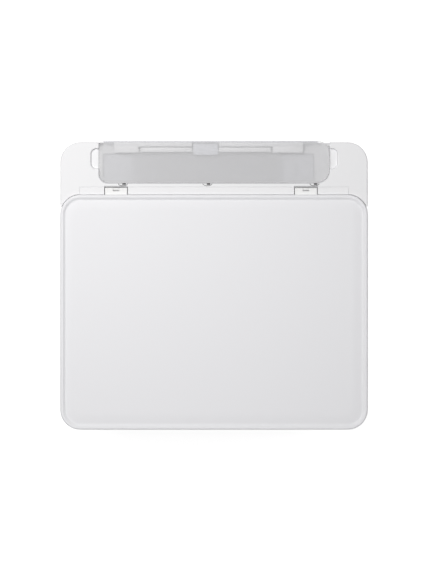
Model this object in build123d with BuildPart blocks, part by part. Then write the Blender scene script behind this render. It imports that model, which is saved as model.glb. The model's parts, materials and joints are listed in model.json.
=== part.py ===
"""Compact home multifunction printer: an ink-jet engine under a flatbed scanner.

The machine stands on four rubber feet. A front cassette and a rear tray feed A4 paper past
a carriage with two cartridges, and the sheet leaves over a slide-out tray at the front.
The scanner unit tilts up for the cartridges, and the document lid tilts up from the scanner.

Frame: millimetres, +X to the right seen from the front, +Y to the back, +Z up. The origin is
on the floor under the middle of the machine.
"""

import math
import os

from build123d import *

# Overall sizes
overall_width = 376.0
overall_depth = 353.0
overall_height = 141.0
support_overhang = 1.5
corner_radius = 24.5
wall = 2.5
seam = 0.4
play = 0.1

front_y = -overall_depth / 2
back_y = overall_depth / 2 - support_overhang
side_x = overall_width / 2
inner_x = side_x - wall

# Heights of the main layers
foot_height = 3.0
skirt_z = 6.0
split_z = 98.0
scan_top_z = 127.0
deck_z = overall_height - 3.0

# Plan of the scanner and lid, and of the deck edge behind them
scan_back_y = back_y - 64.2
deck_gap = 0.5
ear_end_y = scan_back_y - 13.8

# Scanner hinge and the tongue that carries it
tongue_radius = 2.4
scan_hinge_y = scan_back_y + 8.0
scan_hinge_z = deck_z - tongue_radius
tongue_back_y = scan_hinge_y + tongue_radius
tongue_half = side_x - corner_radius + 1.0
tongue_gap = 0.15
tongue_side_gap = 0.2
deck_lip = 0.4
scan_pin_radius = 1.5

# Lid hinge
lid_knuckle_radius = 2.0
lid_hinge_y = scan_back_y + 6.8
lid_hinge_z = deck_z - lid_knuckle_radius
lid_hinge_xs = (-119.8, 112.4)
hinge_pocket_width = 28.9
hinge_arm_width = 27.0
lid_pin_radius = 0.8
lid_tab_radius = 1.9
leg_y = scan_back_y + 5.5
leg_top_z = 129.0
leg_bottom_z = 105.0
leg_depth = 6.7
leg_width = 25.0

# Paper path
feed_x = -9.5
front_opening = 250.2
front_left = feed_x - front_opening / 2
front_right = feed_x + front_opening / 2
paper_half = 105.0

# Rear tray well, under the paper support
well_left = -141.2
well_right = 141.7
well_front_y = back_y - 50.6
well_floor_z = 131.5
trough_floor_z = 129.0
trough_y = back_y - 9.8
hopper_left = -136.0
hopper_right = 122.8
hopper_front_y = well_front_y + 3.0
hopper_back_y = back_y - 13.7
support_gap = 0.5
support_top_z = deck_z + 0.2
support_thick = 3.4
support_hinge_y = back_y - 3.5
support_hinge_z = 135.2
support_pin_radius = 1.5
scoop_y = back_y - 20.1
scoop_half_length = 12.6
scoop_reach = 9.6
notch_xs = (-111.4, -8.1, 122.9)
notch_half = 6.0
notch_reach = 3.1
notch_groove = 1.2
notch_slot = 5.0

# Front panel
panel_bottom_z = 56.0
panel_top_z = split_z - 0.7
panel_depth = 13.5
panel_hinge_radius = 4.0
panel_hinge_y = front_y + panel_hinge_radius
panel_hinge_z = panel_top_z - panel_hinge_radius
panel_pin_radius = 1.5
panel_wall = 2.2
screen_width = 118.0
screen_height = 33.0
screen_thick = 1.5
screen_x = -29.5
screen_z = 75.5
button_radius = 5.5
button_xs = (50.0, 72.0)
power_button_x = -112.0

# Cassette
cassette_bottom_z = 7.0
cassette_top_z = 31.0
cassette_wall = 2.0
cassette_front_thick = 6.0
cassette_back_y = back_y - 43.0
cassette_back_z = 19.5
cassette_front_top_z = 34.2

# Output tray
out_tray_z = 38.0
out_tray_thick = 3.0
out_tray_half = 110.5
out_tray_back_y = -32.0
stopper_length = 13.0
stopper_half = 32.0

# Print engine
frame_x = side_x - 16.0
sheet = 1.2
mid_plate_z = 34.5
mid_plate_top_z = 36.5
bay_wall = 2.5
bay_gap = 3.0
mid_plate_half = frame_x - 0.5
roller_z = 50.0
feed_roller_y = 38.0
feed_roller_radius = 5.0
feed_journal_radius = 4.0
eject_roller_y = -22.0
eject_roller_radius = 4.0
eject_shaft_radius = 2.5
nip_gap = 0.15
pinch_radius = 3.5
star_radius = 4.5
pinch_xs = (-95.0, -38.0, 19.0, 76.0)
star_xs = (-105.0, -76.0, -48.0, -19.0, 10.0, 38.0, 66.0, 86.0)
gear_module = 1.0
gear_width = 5.0
feed_teeth = 30
idler_teeth = 33
eject_teeth = 24
pinion_teeth = 12
gear_backlash = 0.35
pressure_angle = 20.0
gear_x = -frame_x - sheet - 2.0
back_plate_y = 77.6
frame_top_z = 92.0

# Carriage
carriage_x = frame_x - 39.0
carriage_half = 35.0
carriage_front_y = -24.0
carriage_back_y = 36.0
carriage_bottom_z = 66.0
carriage_top_z = 92.0
rod_y = 44.0
rod_z = 80.0
rod_radius = 4.0
head_z = 57.2
cartridge_width = 29.5
cartridge_offset = 16.0
lever_pivot_y = -27.0
lever_pivot_z = 87.0

# Carriage belt
pulley_radius = 5.0
pulley_y = 63.5
belt_z = 80.0
belt_width = 4.0
belt_thick = 1.2
motor_pulley_x = frame_x - 15.0
idler_pulley_x = 12.0 - frame_x
motor_radius = 12.0

# Scanner
glass_centre_y = (front_y + scan_back_y) / 2 - 1.15
glass_window_width = 300.0
glass_window_depth = 217.0
glass_lip = 4.5
glass_thick = 3.0
glass_top_z = scan_top_z - 1.2
scan_bottom_z = split_z + 0.2
scan_seam_z = 120.0
scan_floor = 2.0
scan_rail_radius = 3.0
scan_rail_z = 105.5
scan_bar_x = -glass_window_width / 2 - 16.0
scan_bar_width = 22.0
scan_bar_length = 226.0

# Lid
lid_bottom_z = scan_top_z + 0.3
lid_recess = 2.2
lid_skin = 2.2
liner_z = 129.6
liner_thick = 2.0
pad_bottom_z = 126.1

# Stay that props the open scanner
stay_pivot_y = 20.0
stay_pivot_z = 88.0
stay_length = 110.0
stay_x = side_x - 10.5
stay_thick = 4.0
stay_width = 8.0
stay_pin_radius = 3.0

# Rear feed
feed_plate_line = [
    (back_y - 17.5, 126.0),
    (back_y - 63.0, 72.0),
    (back_y - 91.0, 60.0),
    (66.0, 56.0),
]
feed_plate_thick = 2.0
pickup_y = back_y - 81.6
pickup_z = 78.2
pickup_radius = 12.0
pickup_shaft_radius = 3.0
flap_hinge_y = hopper_front_y + 2.0
flap_hinge_z = 128.2
flap_thick = 2.0
flap_pin_radius = 0.8

# Rear cover and sockets
transport_left = feed_x - 115.0
transport_right = feed_x + 115.0
transport_bottom_z = 12.0
transport_top_z = 70.0
inlet_x = side_x - 33.0
inlet_z = 26.0
usb_x = 31.0 - side_x
usb_z = 37.6
usb_face_y = back_y - 5.4
usb_recess_half = 9.0
board_z = 30.0
board_thick = 1.6

os.makedirs("parts", exist_ok=True)


def write(piece, label):
    """Names a finished piece and writes it to its own STEP file."""
    piece.label = label
    export_step(piece, f"parts/{label}.step")


def block(x, y, z, mode=Mode.ADD):
    """A box between pairs of x, y and z limits, in the part that is being built."""
    centre = ((x[0] + x[1]) / 2, (y[0] + y[1]) / 2, (z[0] + z[1]) / 2)
    with Locations(centre):
        Box(abs(x[1] - x[0]), abs(y[1] - y[0]), abs(z[1] - z[0]), mode=mode)


def rod(x, y, z, radius, mode=Mode.ADD):
    """A round bar along X between two x limits, with its axis at y and z."""
    with Locations(Location(((x[0] + x[1]) / 2, y, z), (0, 90, 0))):
        Cylinder(radius, abs(x[1] - x[0]), mode=mode)


def post(x, y, z, radius, mode=Mode.ADD):
    """A round upright post between two z limits, with its axis at x and y."""
    with Locations((x, y, (z[0] + z[1]) / 2)):
        Cylinder(radius, abs(z[1] - z[0]), mode=mode)


def pin_y(x, y, z, radius, mode=Mode.ADD):
    """A round pin along Y between two y limits, with its axis at x and z."""
    with Locations(Location((x, (y[0] + y[1]) / 2, z), (90, 0, 0))):
        Cylinder(radius, abs(y[1] - y[0]), mode=mode)


def case_outline(inset=0.0):
    """The plan of the whole case, drawn in the sketch that is being built."""
    with Locations((0, (front_y + back_y) / 2)):
        RectangleRounded(
            overall_width - 2 * inset,
            back_y - front_y - 2 * inset,
            corner_radius - inset,
        )


def scan_outline(inset=0.0, mode=Mode.ADD):
    """The plan of the scanner and lid, drawn in the sketch that is being built."""
    with Locations((0, (front_y + scan_back_y) / 2)):
        RectangleRounded(
            overall_width - 2 * inset,
            scan_back_y - front_y - 2 * inset,
            corner_radius - inset,
            mode=mode,
        )


def involute(angle):
    return math.tan(angle) - angle


def gear_points(teeth):
    """The outline of a spur gear with straight chords on its flanks."""
    pitch = gear_module * teeth / 2
    base = pitch * math.cos(math.radians(pressure_angle))
    root = pitch - 1.25 * gear_module
    tip = pitch + 0.9 * gear_module
    half_tooth = math.pi / (2 * teeth) - gear_backlash / (2 * pitch)
    half_tooth += involute(math.radians(pressure_angle))
    radii = [max(base, root), pitch, (pitch + tip) / 2, tip]
    flank = [(root, half_tooth)]
    for radius in radii:
        if radius > root:
            roll = math.acos(min(1.0, base / radius))
            flank.append((radius, half_tooth - involute(roll)))
    points = []
    for tooth in range(teeth):
        middle = 2 * math.pi * tooth / teeth
        rising = [(r, middle - a) for r, a in flank]
        falling = [(r, middle + a) for r, a in reversed(flank)]
        points += [(r * math.cos(a), r * math.sin(a)) for r, a in rising + falling]
    return points


def gear(x, y, z, teeth, turn, bore):
    """A spur gear of the feed train, with its face at x and its axis along -X."""
    place = Plane(origin=(x, y, z), x_dir=(0, 1, 0), z_dir=(-1, 0, 0))
    with BuildSketch(place) as profile:
        Polygon(*gear_points(teeth), rotation=turn, align=None)
        Circle(bore, mode=Mode.SUBTRACT)
    extrude(profile.sketch, amount=gear_width, dir=(-1, 0, 0))


# Outer case: the white wall round the print engine
case_cheek = 2.5
case_boss_radius = 4.0
case_bosses = [
    (x, y) for x in (12.0 - side_x, side_x - 12.0) for y in (front_y + 36.5, back_y - 35.0)
]
case_boss_top_z = 40.0
screw_hole_radius = 1.4
sill_z = 97.8

with BuildPart() as outer_case:
    with BuildSketch(Plane.XY.offset(skirt_z)):
        case_outline()
        case_outline_inner = RectangleRounded(
            overall_width - 2 * wall,
            back_y - front_y - 2 * wall,
            corner_radius - wall,
            mode=Mode.PRIVATE,
        )
        with Locations((0, (front_y + back_y) / 2)):
            add(case_outline_inner, mode=Mode.SUBTRACT)
    extrude(amount=sill_z - skirt_z)
    # cheeks beside the panel and the paper slot, with the panel's pivots
    for inside, outside in (
        (front_left - seam, front_left - seam - case_cheek),
        (front_right + seam, front_right + seam + case_cheek),
    ):
        block((inside, outside), (front_y + wall, front_y + 26.5), (mid_plate_top_z, sill_z))
    block(
        (front_left - seam, front_right + seam),
        (front_y - 1, front_y + wall + 0.01),
        (skirt_z, sill_z),
        mode=Mode.SUBTRACT,
    )
    rod(
        (front_left - 4, front_right + 4),
        panel_hinge_y,
        panel_hinge_z,
        panel_pin_radius + play,
        mode=Mode.SUBTRACT,
    )
    # rear openings for the transport cover and the two sockets
    block(
        (transport_left, transport_right),
        (back_y - wall - 1, back_y + 1),
        (transport_bottom_z, transport_top_z),
        mode=Mode.SUBTRACT,
    )
    block(
        (inlet_x - 13.0, inlet_x + 13.0),
        (back_y - wall - 1, back_y + 1),
        (inlet_z - 9.0, inlet_z + 9.0),
        mode=Mode.SUBTRACT,
    )
    block(
        (usb_x - usb_recess_half, usb_x + usb_recess_half),
        (back_y - wall - 1, back_y + 1),
        (usb_z - usb_recess_half, usb_z + usb_recess_half),
        mode=Mode.SUBTRACT,
    )
    # screw bosses, tied to the walls by ribs
    for x, y in case_bosses:
        post(x, y, (skirt_z + 0.2, case_boss_top_z), case_boss_radius)
        near, far = sorted((x, math.copysign(inner_x + 0.5, x)))
        block((near, far), (y - 1, y + 1), (skirt_z + 0.2, case_boss_top_z))
        post(x, y, (skirt_z, 26.0), screw_hole_radius, mode=Mode.SUBTRACT)
write(outer_case.part, "outer_case")

# Bottom case: the floor of the machine
floor_thick = 2.5
floor_top_z = foot_height + floor_thick
rim_inset = wall + 0.3
rim_wall = 2.0
rim_top_z = 12.0
foot_radius = 8.0
foot_recess = 1.0
foot_spots = [
    (x, y) for x in (38.0 - side_x, side_x - 38.0) for y in (front_y + 30.5, back_y - 29.0)
]
board_posts = [(x, y) for x in (usb_x - 10, usb_x + 10) for y in (back_y - 91.0, back_y - 25.0)]

with BuildPart() as bottom_case:
    with BuildSketch(Plane.XY.offset(foot_height)):
        case_outline(rim_inset)
    extrude(amount=floor_thick)
    with BuildSketch(Plane.XY.offset(floor_top_z)):
        case_outline(rim_inset)
        with Locations((0, (front_y + back_y) / 2)):
            RectangleRounded(
                overall_width - 2 * (rim_inset + rim_wall),
                back_y - front_y - 2 * (rim_inset + rim_wall),
                corner_radius - rim_inset - rim_wall,
                mode=Mode.SUBTRACT,
            )
    extrude(amount=rim_top_z - floor_top_z)
    block(
        (front_left - 2, front_right + 2),
        (front_y, front_y + 8),
        (floor_top_z, rim_top_z),
        mode=Mode.SUBTRACT,
    )
    block(
        (transport_left - 2, transport_right + 2),
        (back_y - 8, back_y),
        (floor_top_z + 4, rim_top_z),
        mode=Mode.SUBTRACT,
    )
    for x, y in case_bosses:
        block((x - 12, x + 12), (y - 5, y + 5), (floor_top_z, rim_top_z), mode=Mode.SUBTRACT)
        post(x, y, (foot_height, floor_top_z), screw_hole_radius + 0.3, mode=Mode.SUBTRACT)
        post(x, y, (foot_height, foot_height + 1.2), 3.4, mode=Mode.SUBTRACT)
    for x, y in foot_spots:
        post(x, y, (foot_height, foot_height + foot_recess), foot_radius, mode=Mode.SUBTRACT)
    for x, y in board_posts:
        post(x, y, (floor_top_z, board_z), 3.0)
write(bottom_case.part, "bottom_case")

with BuildPart() as rubber_feet:
    for x, y in foot_spots:
        post(x, y, (0, foot_height + foot_recess), foot_radius - 0.1)
    fillet(rubber_feet.edges().group_by(Axis.Z)[0], radius=1.0)
write(rubber_feet.part, "rubber_feet")

with BuildPart() as case_screws:
    for x, y in case_bosses:
        post(x, y, (foot_height + 1.2, 24.0), screw_hole_radius - 0.1)
        post(x, y, (foot_height + 0.1, foot_height + 1.2), 3.0)
        block((x - 2.0, x + 2.0), (y - 0.4, y + 0.4), (3.0, 3.7), mode=Mode.SUBTRACT)
        block((x - 0.4, x + 0.4), (y - 2.0, y + 2.0), (3.0, 3.7), mode=Mode.SUBTRACT)
write(case_screws.part, "case_screws")

# Rear deck: the white top behind the lid, with the rear tray well
ear_top_wall = 2.5
scoop_depth = 3.4
scoop_corner = 7.0
scoop_draft = 12.0

# The deck's front lip reaches over the tongue's round back edge.
lip_y = scan_hinge_y + math.sqrt(
    (tongue_radius + tongue_gap) ** 2 - (tongue_radius - deck_lip) ** 2
)

with BuildPart() as rear_deck:
    with BuildSketch(Plane.XY.offset(split_z + 0.2)) as deck_plan:
        case_outline()
        with Locations((0, front_y)):
            Rectangle(
                2 * overall_width,
                2 * (ear_end_y - front_y),
                mode=Mode.SUBTRACT,
            )
        scan_outline(-deck_gap, mode=Mode.SUBTRACT)
        with Locations((0, lip_y - 20)):
            Rectangle(2 * (tongue_half + tongue_side_gap), 40, mode=Mode.SUBTRACT)
    extrude(amount=deck_z - split_z - 0.2)
    with BuildSketch(Plane.XY.offset(split_z + 0.2)):
        add(deck_plan.sketch.face())
        offset(amount=-wall, mode=Mode.REPLACE)
    extrude(amount=deck_z - ear_top_wall - split_z - 0.2, mode=Mode.SUBTRACT)
    # box that hangs under the deck round the well
    block(
        (well_left - wall, well_right + wall),
        (well_front_y - wall, back_y),
        (trough_floor_z - wall, deck_z - 0.5),
    )
    # room for the tongue, round at the top where it turns
    block(
        (-tongue_half - tongue_side_gap, tongue_half + tongue_side_gap),
        (scan_back_y, tongue_back_y + tongue_gap),
        (split_z, scan_hinge_z),
        mode=Mode.SUBTRACT,
    )
    rod(
        (-tongue_half - tongue_side_gap, tongue_half + tongue_side_gap),
        scan_hinge_y,
        scan_hinge_z,
        tongue_radius + tongue_gap,
        mode=Mode.SUBTRACT,
    )
    # the lip stops short behind the lid hinges, which lean back when the scanner is up
    for x in lid_hinge_xs:
        block(
            (x - hinge_pocket_width / 2, x + hinge_pocket_width / 2),
            (scan_back_y, tongue_back_y + tongue_gap),
            (split_z, deck_z + 1),
            mode=Mode.SUBTRACT,
        )
    with BuildSketch(Plane.XY.offset(deck_z)) as well_plan:
        with BuildLine():
            FilletPolyline(
                (well_left, back_y + 5),
                (well_left, well_front_y),
                (well_right, well_front_y),
                (well_right, back_y + 5),
                radius=(11.5, 16.0),
            )
            Line((well_right, back_y + 5), (well_left, back_y + 5))
        make_face()
    extrude(amount=-(deck_z - well_floor_z), mode=Mode.SUBTRACT)
    block(
        (well_left, well_right),
        (trough_y, back_y + 5),
        (trough_floor_z, deck_z),
        mode=Mode.SUBTRACT,
    )
    # the paper opening
    with BuildSketch(Plane.XY.offset(well_floor_z)):
        with Locations(
            ((hopper_left + hopper_right) / 2, (hopper_front_y + hopper_back_y) / 2)
        ):
            RectangleRounded(
                hopper_right - hopper_left, hopper_back_y - hopper_front_y, 2.0
            )
    extrude(amount=-20, both=True, mode=Mode.SUBTRACT)
    # bearings for the paper support and the scanner hinge
    rod(
        (well_left - 2.2, well_right + 2.2),
        support_hinge_y,
        support_hinge_z,
        support_pin_radius + play,
        mode=Mode.SUBTRACT,
    )
    rod(
        (hopper_left - 2.4, hopper_right + 2.4),
        flap_hinge_y,
        flap_hinge_z,
        flap_pin_radius + play,
        mode=Mode.SUBTRACT,
    )
    for side in (-1, 1):
        inner = side * (tongue_half + tongue_side_gap)
        block(
            (inner, inner + side * 7),
            (scan_hinge_y - 3.6, scan_hinge_y + 4),
            (scan_hinge_z - 3.6, deck_z - 1),
        )
    rod(
        (-tongue_half - 6, tongue_half + 6),
        scan_hinge_y,
        scan_hinge_z,
        scan_pin_radius + play,
        mode=Mode.SUBTRACT,
    )
    # finger scoops at both ends of the support
    for edge, side in ((well_left, -1), (well_right, 1)):
        block(
            (edge + side * 0.5, edge + side * (scoop_reach + 2.5)),
            (scoop_y - scoop_half_length - 2, scoop_y + scoop_half_length + 2),
            (deck_z - scoop_depth - 2, deck_z - 1),
        )
        with BuildSketch(Plane.XY.offset(deck_z)):
            with Locations((edge, scoop_y)):
                RectangleRounded(2 * scoop_reach, 2 * scoop_half_length, scoop_corner)
        extrude(amount=-scoop_depth, taper=scoop_draft, mode=Mode.SUBTRACT)
    top_rim = rear_deck.faces().filter_by(Axis.Z).sort_by(Axis.Z)[-1].outer_wire().edges()
    fillet(
        top_rim.filter_by(lambda e: e.center().Y > well_front_y and abs(e.center().X) > well_right)
        + top_rim.filter_by(lambda e: abs(abs(e.center().X) - side_x) < 0.01),
        radius=1.5,
    )
    # catch slots in front of the support, each with a half-round groove beside it
    for x in notch_xs:
        with BuildSketch(Plane.XY.offset(deck_z)):
            with Locations((x, well_front_y)):
                Ellipse(notch_half, notch_reach)
                Ellipse(notch_half - 0.7, notch_reach - 0.7, mode=Mode.SUBTRACT)
        extrude(amount=-notch_groove, mode=Mode.SUBTRACT)
        block(
            (x - 0.8, x + 3.6),
            (well_front_y - 1.6, well_front_y + 1),
            (deck_z - notch_slot, deck_z + 1),
            mode=Mode.SUBTRACT,
        )
write(rear_deck.part, "rear_deck")

# Mid frame: the plate over the cassette, with the walls of the cassette bay
pickup_roller_y = cassette_back_y - 27.0
arm_pivot_y = pickup_roller_y - 43.0
mid_plate_back_y = arm_pivot_y + 14.5
arm_pivot_z = 30.2
arm_half = 6.0
arm_pin_radius = 1.5
pickup_roller_z = 27.3
pickup_roller_radius = 6.0

with BuildPart() as mid_frame:
    block(
        (-mid_plate_half, mid_plate_half),
        (front_y + 10.5, mid_plate_back_y),
        (mid_plate_z, mid_plate_top_z),
    )
    for near, far in (
        (front_left - bay_gap - bay_wall, front_left - bay_gap),
        (front_right + bay_gap, front_right + bay_gap + bay_wall),
    ):
        block(
            (near, far),
            (front_y + 16.5, mid_plate_back_y),
            (floor_top_z + 0.3, mid_plate_z),
        )
    for near in (feed_x - 17.0, feed_x + 15.0):
        block((near, near + 2.0), (arm_pivot_y - 4, arm_pivot_y + 4), (27.0, mid_plate_z))
    rod(
        (feed_x - 18, feed_x + 18),
        arm_pivot_y,
        arm_pivot_z,
        arm_pin_radius + play,
        mode=Mode.SUBTRACT,
    )
write(mid_frame.part, "mid_frame")

# Cassette with its guides
lift_hinge_y = 22.0
lift_hinge_z = 11.1
lift_half = 102.5
lift_pin_radius = 0.8
guide_top_z = 28.0
guide_foot_z = cassette_bottom_z + cassette_wall + 0.3
end_guide_y = front_y + 8.3

with BuildPart() as cassette:
    block(
        (front_left, front_right),
        (front_y + cassette_front_thick, cassette_back_y),
        (cassette_bottom_z, cassette_top_z),
    )
    block(
        (front_left + cassette_wall, front_right - cassette_wall),
        (front_y + cassette_front_thick + cassette_wall, cassette_back_y - cassette_wall),
        (cassette_bottom_z + cassette_wall, cassette_top_z + 1),
        mode=Mode.SUBTRACT,
    )
    block(
        (front_left + 6, front_right - 6),
        (cassette_back_y - cassette_wall - 1, cassette_back_y + 1),
        (cassette_back_z, cassette_top_z + 1),
        mode=Mode.SUBTRACT,
    )
    block(
        (front_left, front_right),
        (front_y, front_y + cassette_front_thick + 0.01),
        (cassette_bottom_z, cassette_front_top_z),
    )
    fillet(
        cassette.edges()
        .filter_by(Axis.X)
        .filter_by(lambda e: abs(e.center().Y - front_y) < 0.01),
        radius=1.2,
    )
    # finger grip under the front
    block(
        (feed_x - 32, feed_x + 32),
        (front_y - 1, front_y + 4.2),
        (cassette_bottom_z - 1, cassette_bottom_z + 9.0),
        mode=Mode.SUBTRACT,
    )
    for near in (feed_x - lift_half - 5.0, feed_x + lift_half + 3.0):
        block(
            (near, near + 2.0),
            (lift_hinge_y - 3, lift_hinge_y + 3),
            (cassette_bottom_z + cassette_wall, lift_hinge_z + 3),
        )
    rod(
        (feed_x - lift_half - 6, feed_x + lift_half + 6),
        lift_hinge_y,
        lift_hinge_z,
        lift_pin_radius + play,
        mode=Mode.SUBTRACT,
    )
write(cassette.part, "cassette")

with BuildPart() as lift_plate:
    block(
        (feed_x - lift_half, feed_x + lift_half),
        (lift_hinge_y, cassette_back_y - 5.0),
        (lift_hinge_z - 0.9, lift_hinge_z + 0.5),
    )
    rod((feed_x - lift_half, feed_x + lift_half), lift_hinge_y, lift_hinge_z, 1.6)
    rod(
        (feed_x - lift_half - 4.6, feed_x + lift_half + 4.6),
        lift_hinge_y,
        lift_hinge_z,
        lift_pin_radius,
    )
    for x in (-60.0, 0.0, 60.0):
        block(
            (feed_x + x - 14, feed_x + x + 14),
            (50.0, 92.0),
            (lift_hinge_z - 2, lift_hinge_z + 1),
            mode=Mode.SUBTRACT,
        )
write(lift_plate.part, "lift_plate")

for side, label in ((-1, "paper_guide_left"), (1, "paper_guide_right")):
    with BuildPart() as paper_guide:
        face = feed_x + side * (paper_half + 0.2)
        block((face, face + side * 2.2), (-70.0, -8.0), (guide_foot_z, guide_top_z))
        block((face, face - side * 22.0), (-60.0, -18.0), (guide_foot_z, guide_foot_z + 1.0))
        grip = paper_guide.edges().filter_by(Axis.X).group_by(Axis.Z)[-1]
        fillet(grip, radius=4.0)
    write(paper_guide.part, label)

with BuildPart() as end_guide:
    block((feed_x - 22, feed_x + 22), (end_guide_y, end_guide_y + 2.0), (guide_foot_z, guide_top_z))
    block((feed_x - 16, feed_x + 16), (end_guide_y, end_guide_y + 18.2), (guide_foot_z, guide_foot_z + 1.4))
    fillet(end_guide.edges().filter_by(Axis.Y).group_by(Axis.Z)[-1], radius=4.0)
write(end_guide.part, "end_guide")

# Pickup arm over the back of the cassette
with BuildPart() as pickup_arm:
    block(
        (feed_x - arm_half, feed_x + arm_half),
        (arm_pivot_y - 3.2, pickup_roller_y + 4.0),
        (arm_pivot_z - 3.2, arm_pivot_z + 2.8),
    )
    block(
        (feed_x - arm_half, feed_x + arm_half),
        (pickup_roller_y - 4.0, pickup_roller_y + 4.0),
        (pickup_roller_z - 3.5, arm_pivot_z),
    )
    rod(
        (feed_x - 17.0, feed_x + 17.0),
        arm_pivot_y,
        arm_pivot_z,
        arm_pin_radius,
    )
    rod(
        (feed_x - arm_half - 1, feed_x + arm_half + 1),
        pickup_roller_y,
        pickup_roller_z,
        arm_pin_radius + play,
        mode=Mode.SUBTRACT,
    )
write(pickup_arm.part, "pickup_arm")

with BuildPart() as pickup_roller:
    rod(
        (feed_x - 16.0, feed_x + 16.0), pickup_roller_y, pickup_roller_z, arm_pin_radius
    )
    for side in (-1, 1):
        rod(
            (feed_x + side * 6.4, feed_x + side * 14.0),
            pickup_roller_y,
            pickup_roller_z,
            pickup_roller_radius,
        )
write(pickup_roller.part, "pickup_roller")

# Output tray and its stopper
stopper_y = front_y + 9.8
stopper_z = out_tray_z + 2.2
stopper_pin_radius = 0.8

with BuildPart() as output_tray:
    block(
        (feed_x - out_tray_half, feed_x + out_tray_half),
        (front_y + 6.5, out_tray_back_y),
        (out_tray_z, out_tray_z + out_tray_thick),
    )
    block(
        (feed_x - stopper_half - 0.4, feed_x + stopper_half + 0.4),
        (stopper_y - 1.9, stopper_y + stopper_length),
        (out_tray_z + 0.8, out_tray_z + out_tray_thick + 1),
        mode=Mode.SUBTRACT,
    )
    rod(
        (feed_x - stopper_half - 3, feed_x + stopper_half + 3),
        stopper_y,
        stopper_z,
        stopper_pin_radius + play,
        mode=Mode.SUBTRACT,
    )
    for near in (feed_x - out_tray_half, feed_x + out_tray_half - 4.0):
        block(
            (near, near + 4.0),
            (front_y + 14.0, out_tray_back_y),
            (mid_plate_top_z + 0.3, out_tray_z),
        )
write(output_tray.part, "output_tray")

with BuildPart() as paper_stopper:
    block(
        (feed_x - stopper_half, feed_x + stopper_half),
        (stopper_y - 0.8, stopper_y + stopper_length - 0.8),
        (stopper_z - 0.8, stopper_z + 0.8),
    )
    rod(
        (feed_x - stopper_half - 2.6, feed_x + stopper_half + 2.6),
        stopper_y,
        stopper_z,
        stopper_pin_radius,
    )
write(paper_stopper.part, "paper_stopper")

# Operation panel, hinged along its top edge
panel_back_y = front_y + panel_depth
panel_mid_z = 76.0

with BuildPart() as operation_panel:
    block((front_left, front_right), (front_y, panel_back_y), (panel_bottom_z, panel_top_z))
    top_front = (
        operation_panel.edges()
        .filter_by(Axis.X)
        .filter_by(
            lambda e: abs(e.center().Y - front_y) < 0.01 and e.center().Z > panel_mid_z
        )
    )
    fillet(top_front, radius=panel_hinge_radius)
    block(
        (front_left + panel_wall, front_right - panel_wall),
        (front_y + panel_wall, panel_back_y - panel_wall),
        (panel_bottom_z + panel_wall, panel_top_z - 2 * panel_wall - 1.6),
        mode=Mode.SUBTRACT,
    )
    block(
        (front_left + 30, front_right - 30),
        (panel_back_y - panel_wall - 1, panel_back_y + 1),
        (panel_bottom_z + 6, panel_mid_z + 10),
        mode=Mode.SUBTRACT,
    )
    block(
        (screen_x - screen_width / 2 - play, screen_x + screen_width / 2 + play),
        (front_y - 1, front_y + screen_thick + play),
        (screen_z - screen_height / 2 - play, screen_z + screen_height / 2 + play),
        mode=Mode.SUBTRACT,
    )
    for x in (*button_xs, power_button_x):
        pin_y(
            x,
            (front_y - 1, front_y + panel_wall + 1),
            panel_mid_z,
            button_radius + play,
            mode=Mode.SUBTRACT,
        )
    rod(
        (front_left - 2.6, front_right + 2.6),
        panel_hinge_y,
        panel_hinge_z,
        panel_pin_radius,
    )
write(operation_panel.part, "operation_panel")

with BuildPart() as panel_screen:
    block(
        (screen_x - screen_width / 2, screen_x + screen_width / 2),
        (front_y, front_y + screen_thick),
        (screen_z - screen_height / 2, screen_z + screen_height / 2),
    )
write(panel_screen.part, "panel_screen")

for x, label in (
    (button_xs[0], "stop_button"),
    (button_xs[1], "start_button"),
    (power_button_x, "power_button"),
):
    with BuildPart() as button:
        pin_y(x, (front_y, front_y + panel_wall + 0.4), panel_mid_z, button_radius)
        fillet(button.edges().group_by(Axis.Y)[0], radius=0.4)
        pin_y(
            x,
            (front_y + panel_wall + 0.3, front_y + panel_wall + 1.4),
            panel_mid_z,
            button_radius + 1.4,
        )
        pin_y(x, (front_y + panel_wall + 1.3, front_y + panel_wall + 5.0), panel_mid_z, 2.0)
    write(button.part, label)

# Engine frame: folded sheet with shelves for the carriage drive
mesh_angle = 20.0
feed_motor_y = feed_roller_y + gear_module * (
    feed_teeth + pinion_teeth
) / 2 * math.cos(math.radians(mesh_angle))
feed_motor_z = roller_z + gear_module * (
    feed_teeth + pinion_teeth
) / 2 * math.sin(math.radians(mesh_angle))
idler_y = feed_roller_y - gear_module * (feed_teeth + idler_teeth) / 2
feed_motor_radius = 11.0
idler_stud_radius = 2.0
shelf_z = 76.0
shelf_front_y = 53.0
belt_post_radius = 1.5
motor_shaft_radius = 1.2

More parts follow.
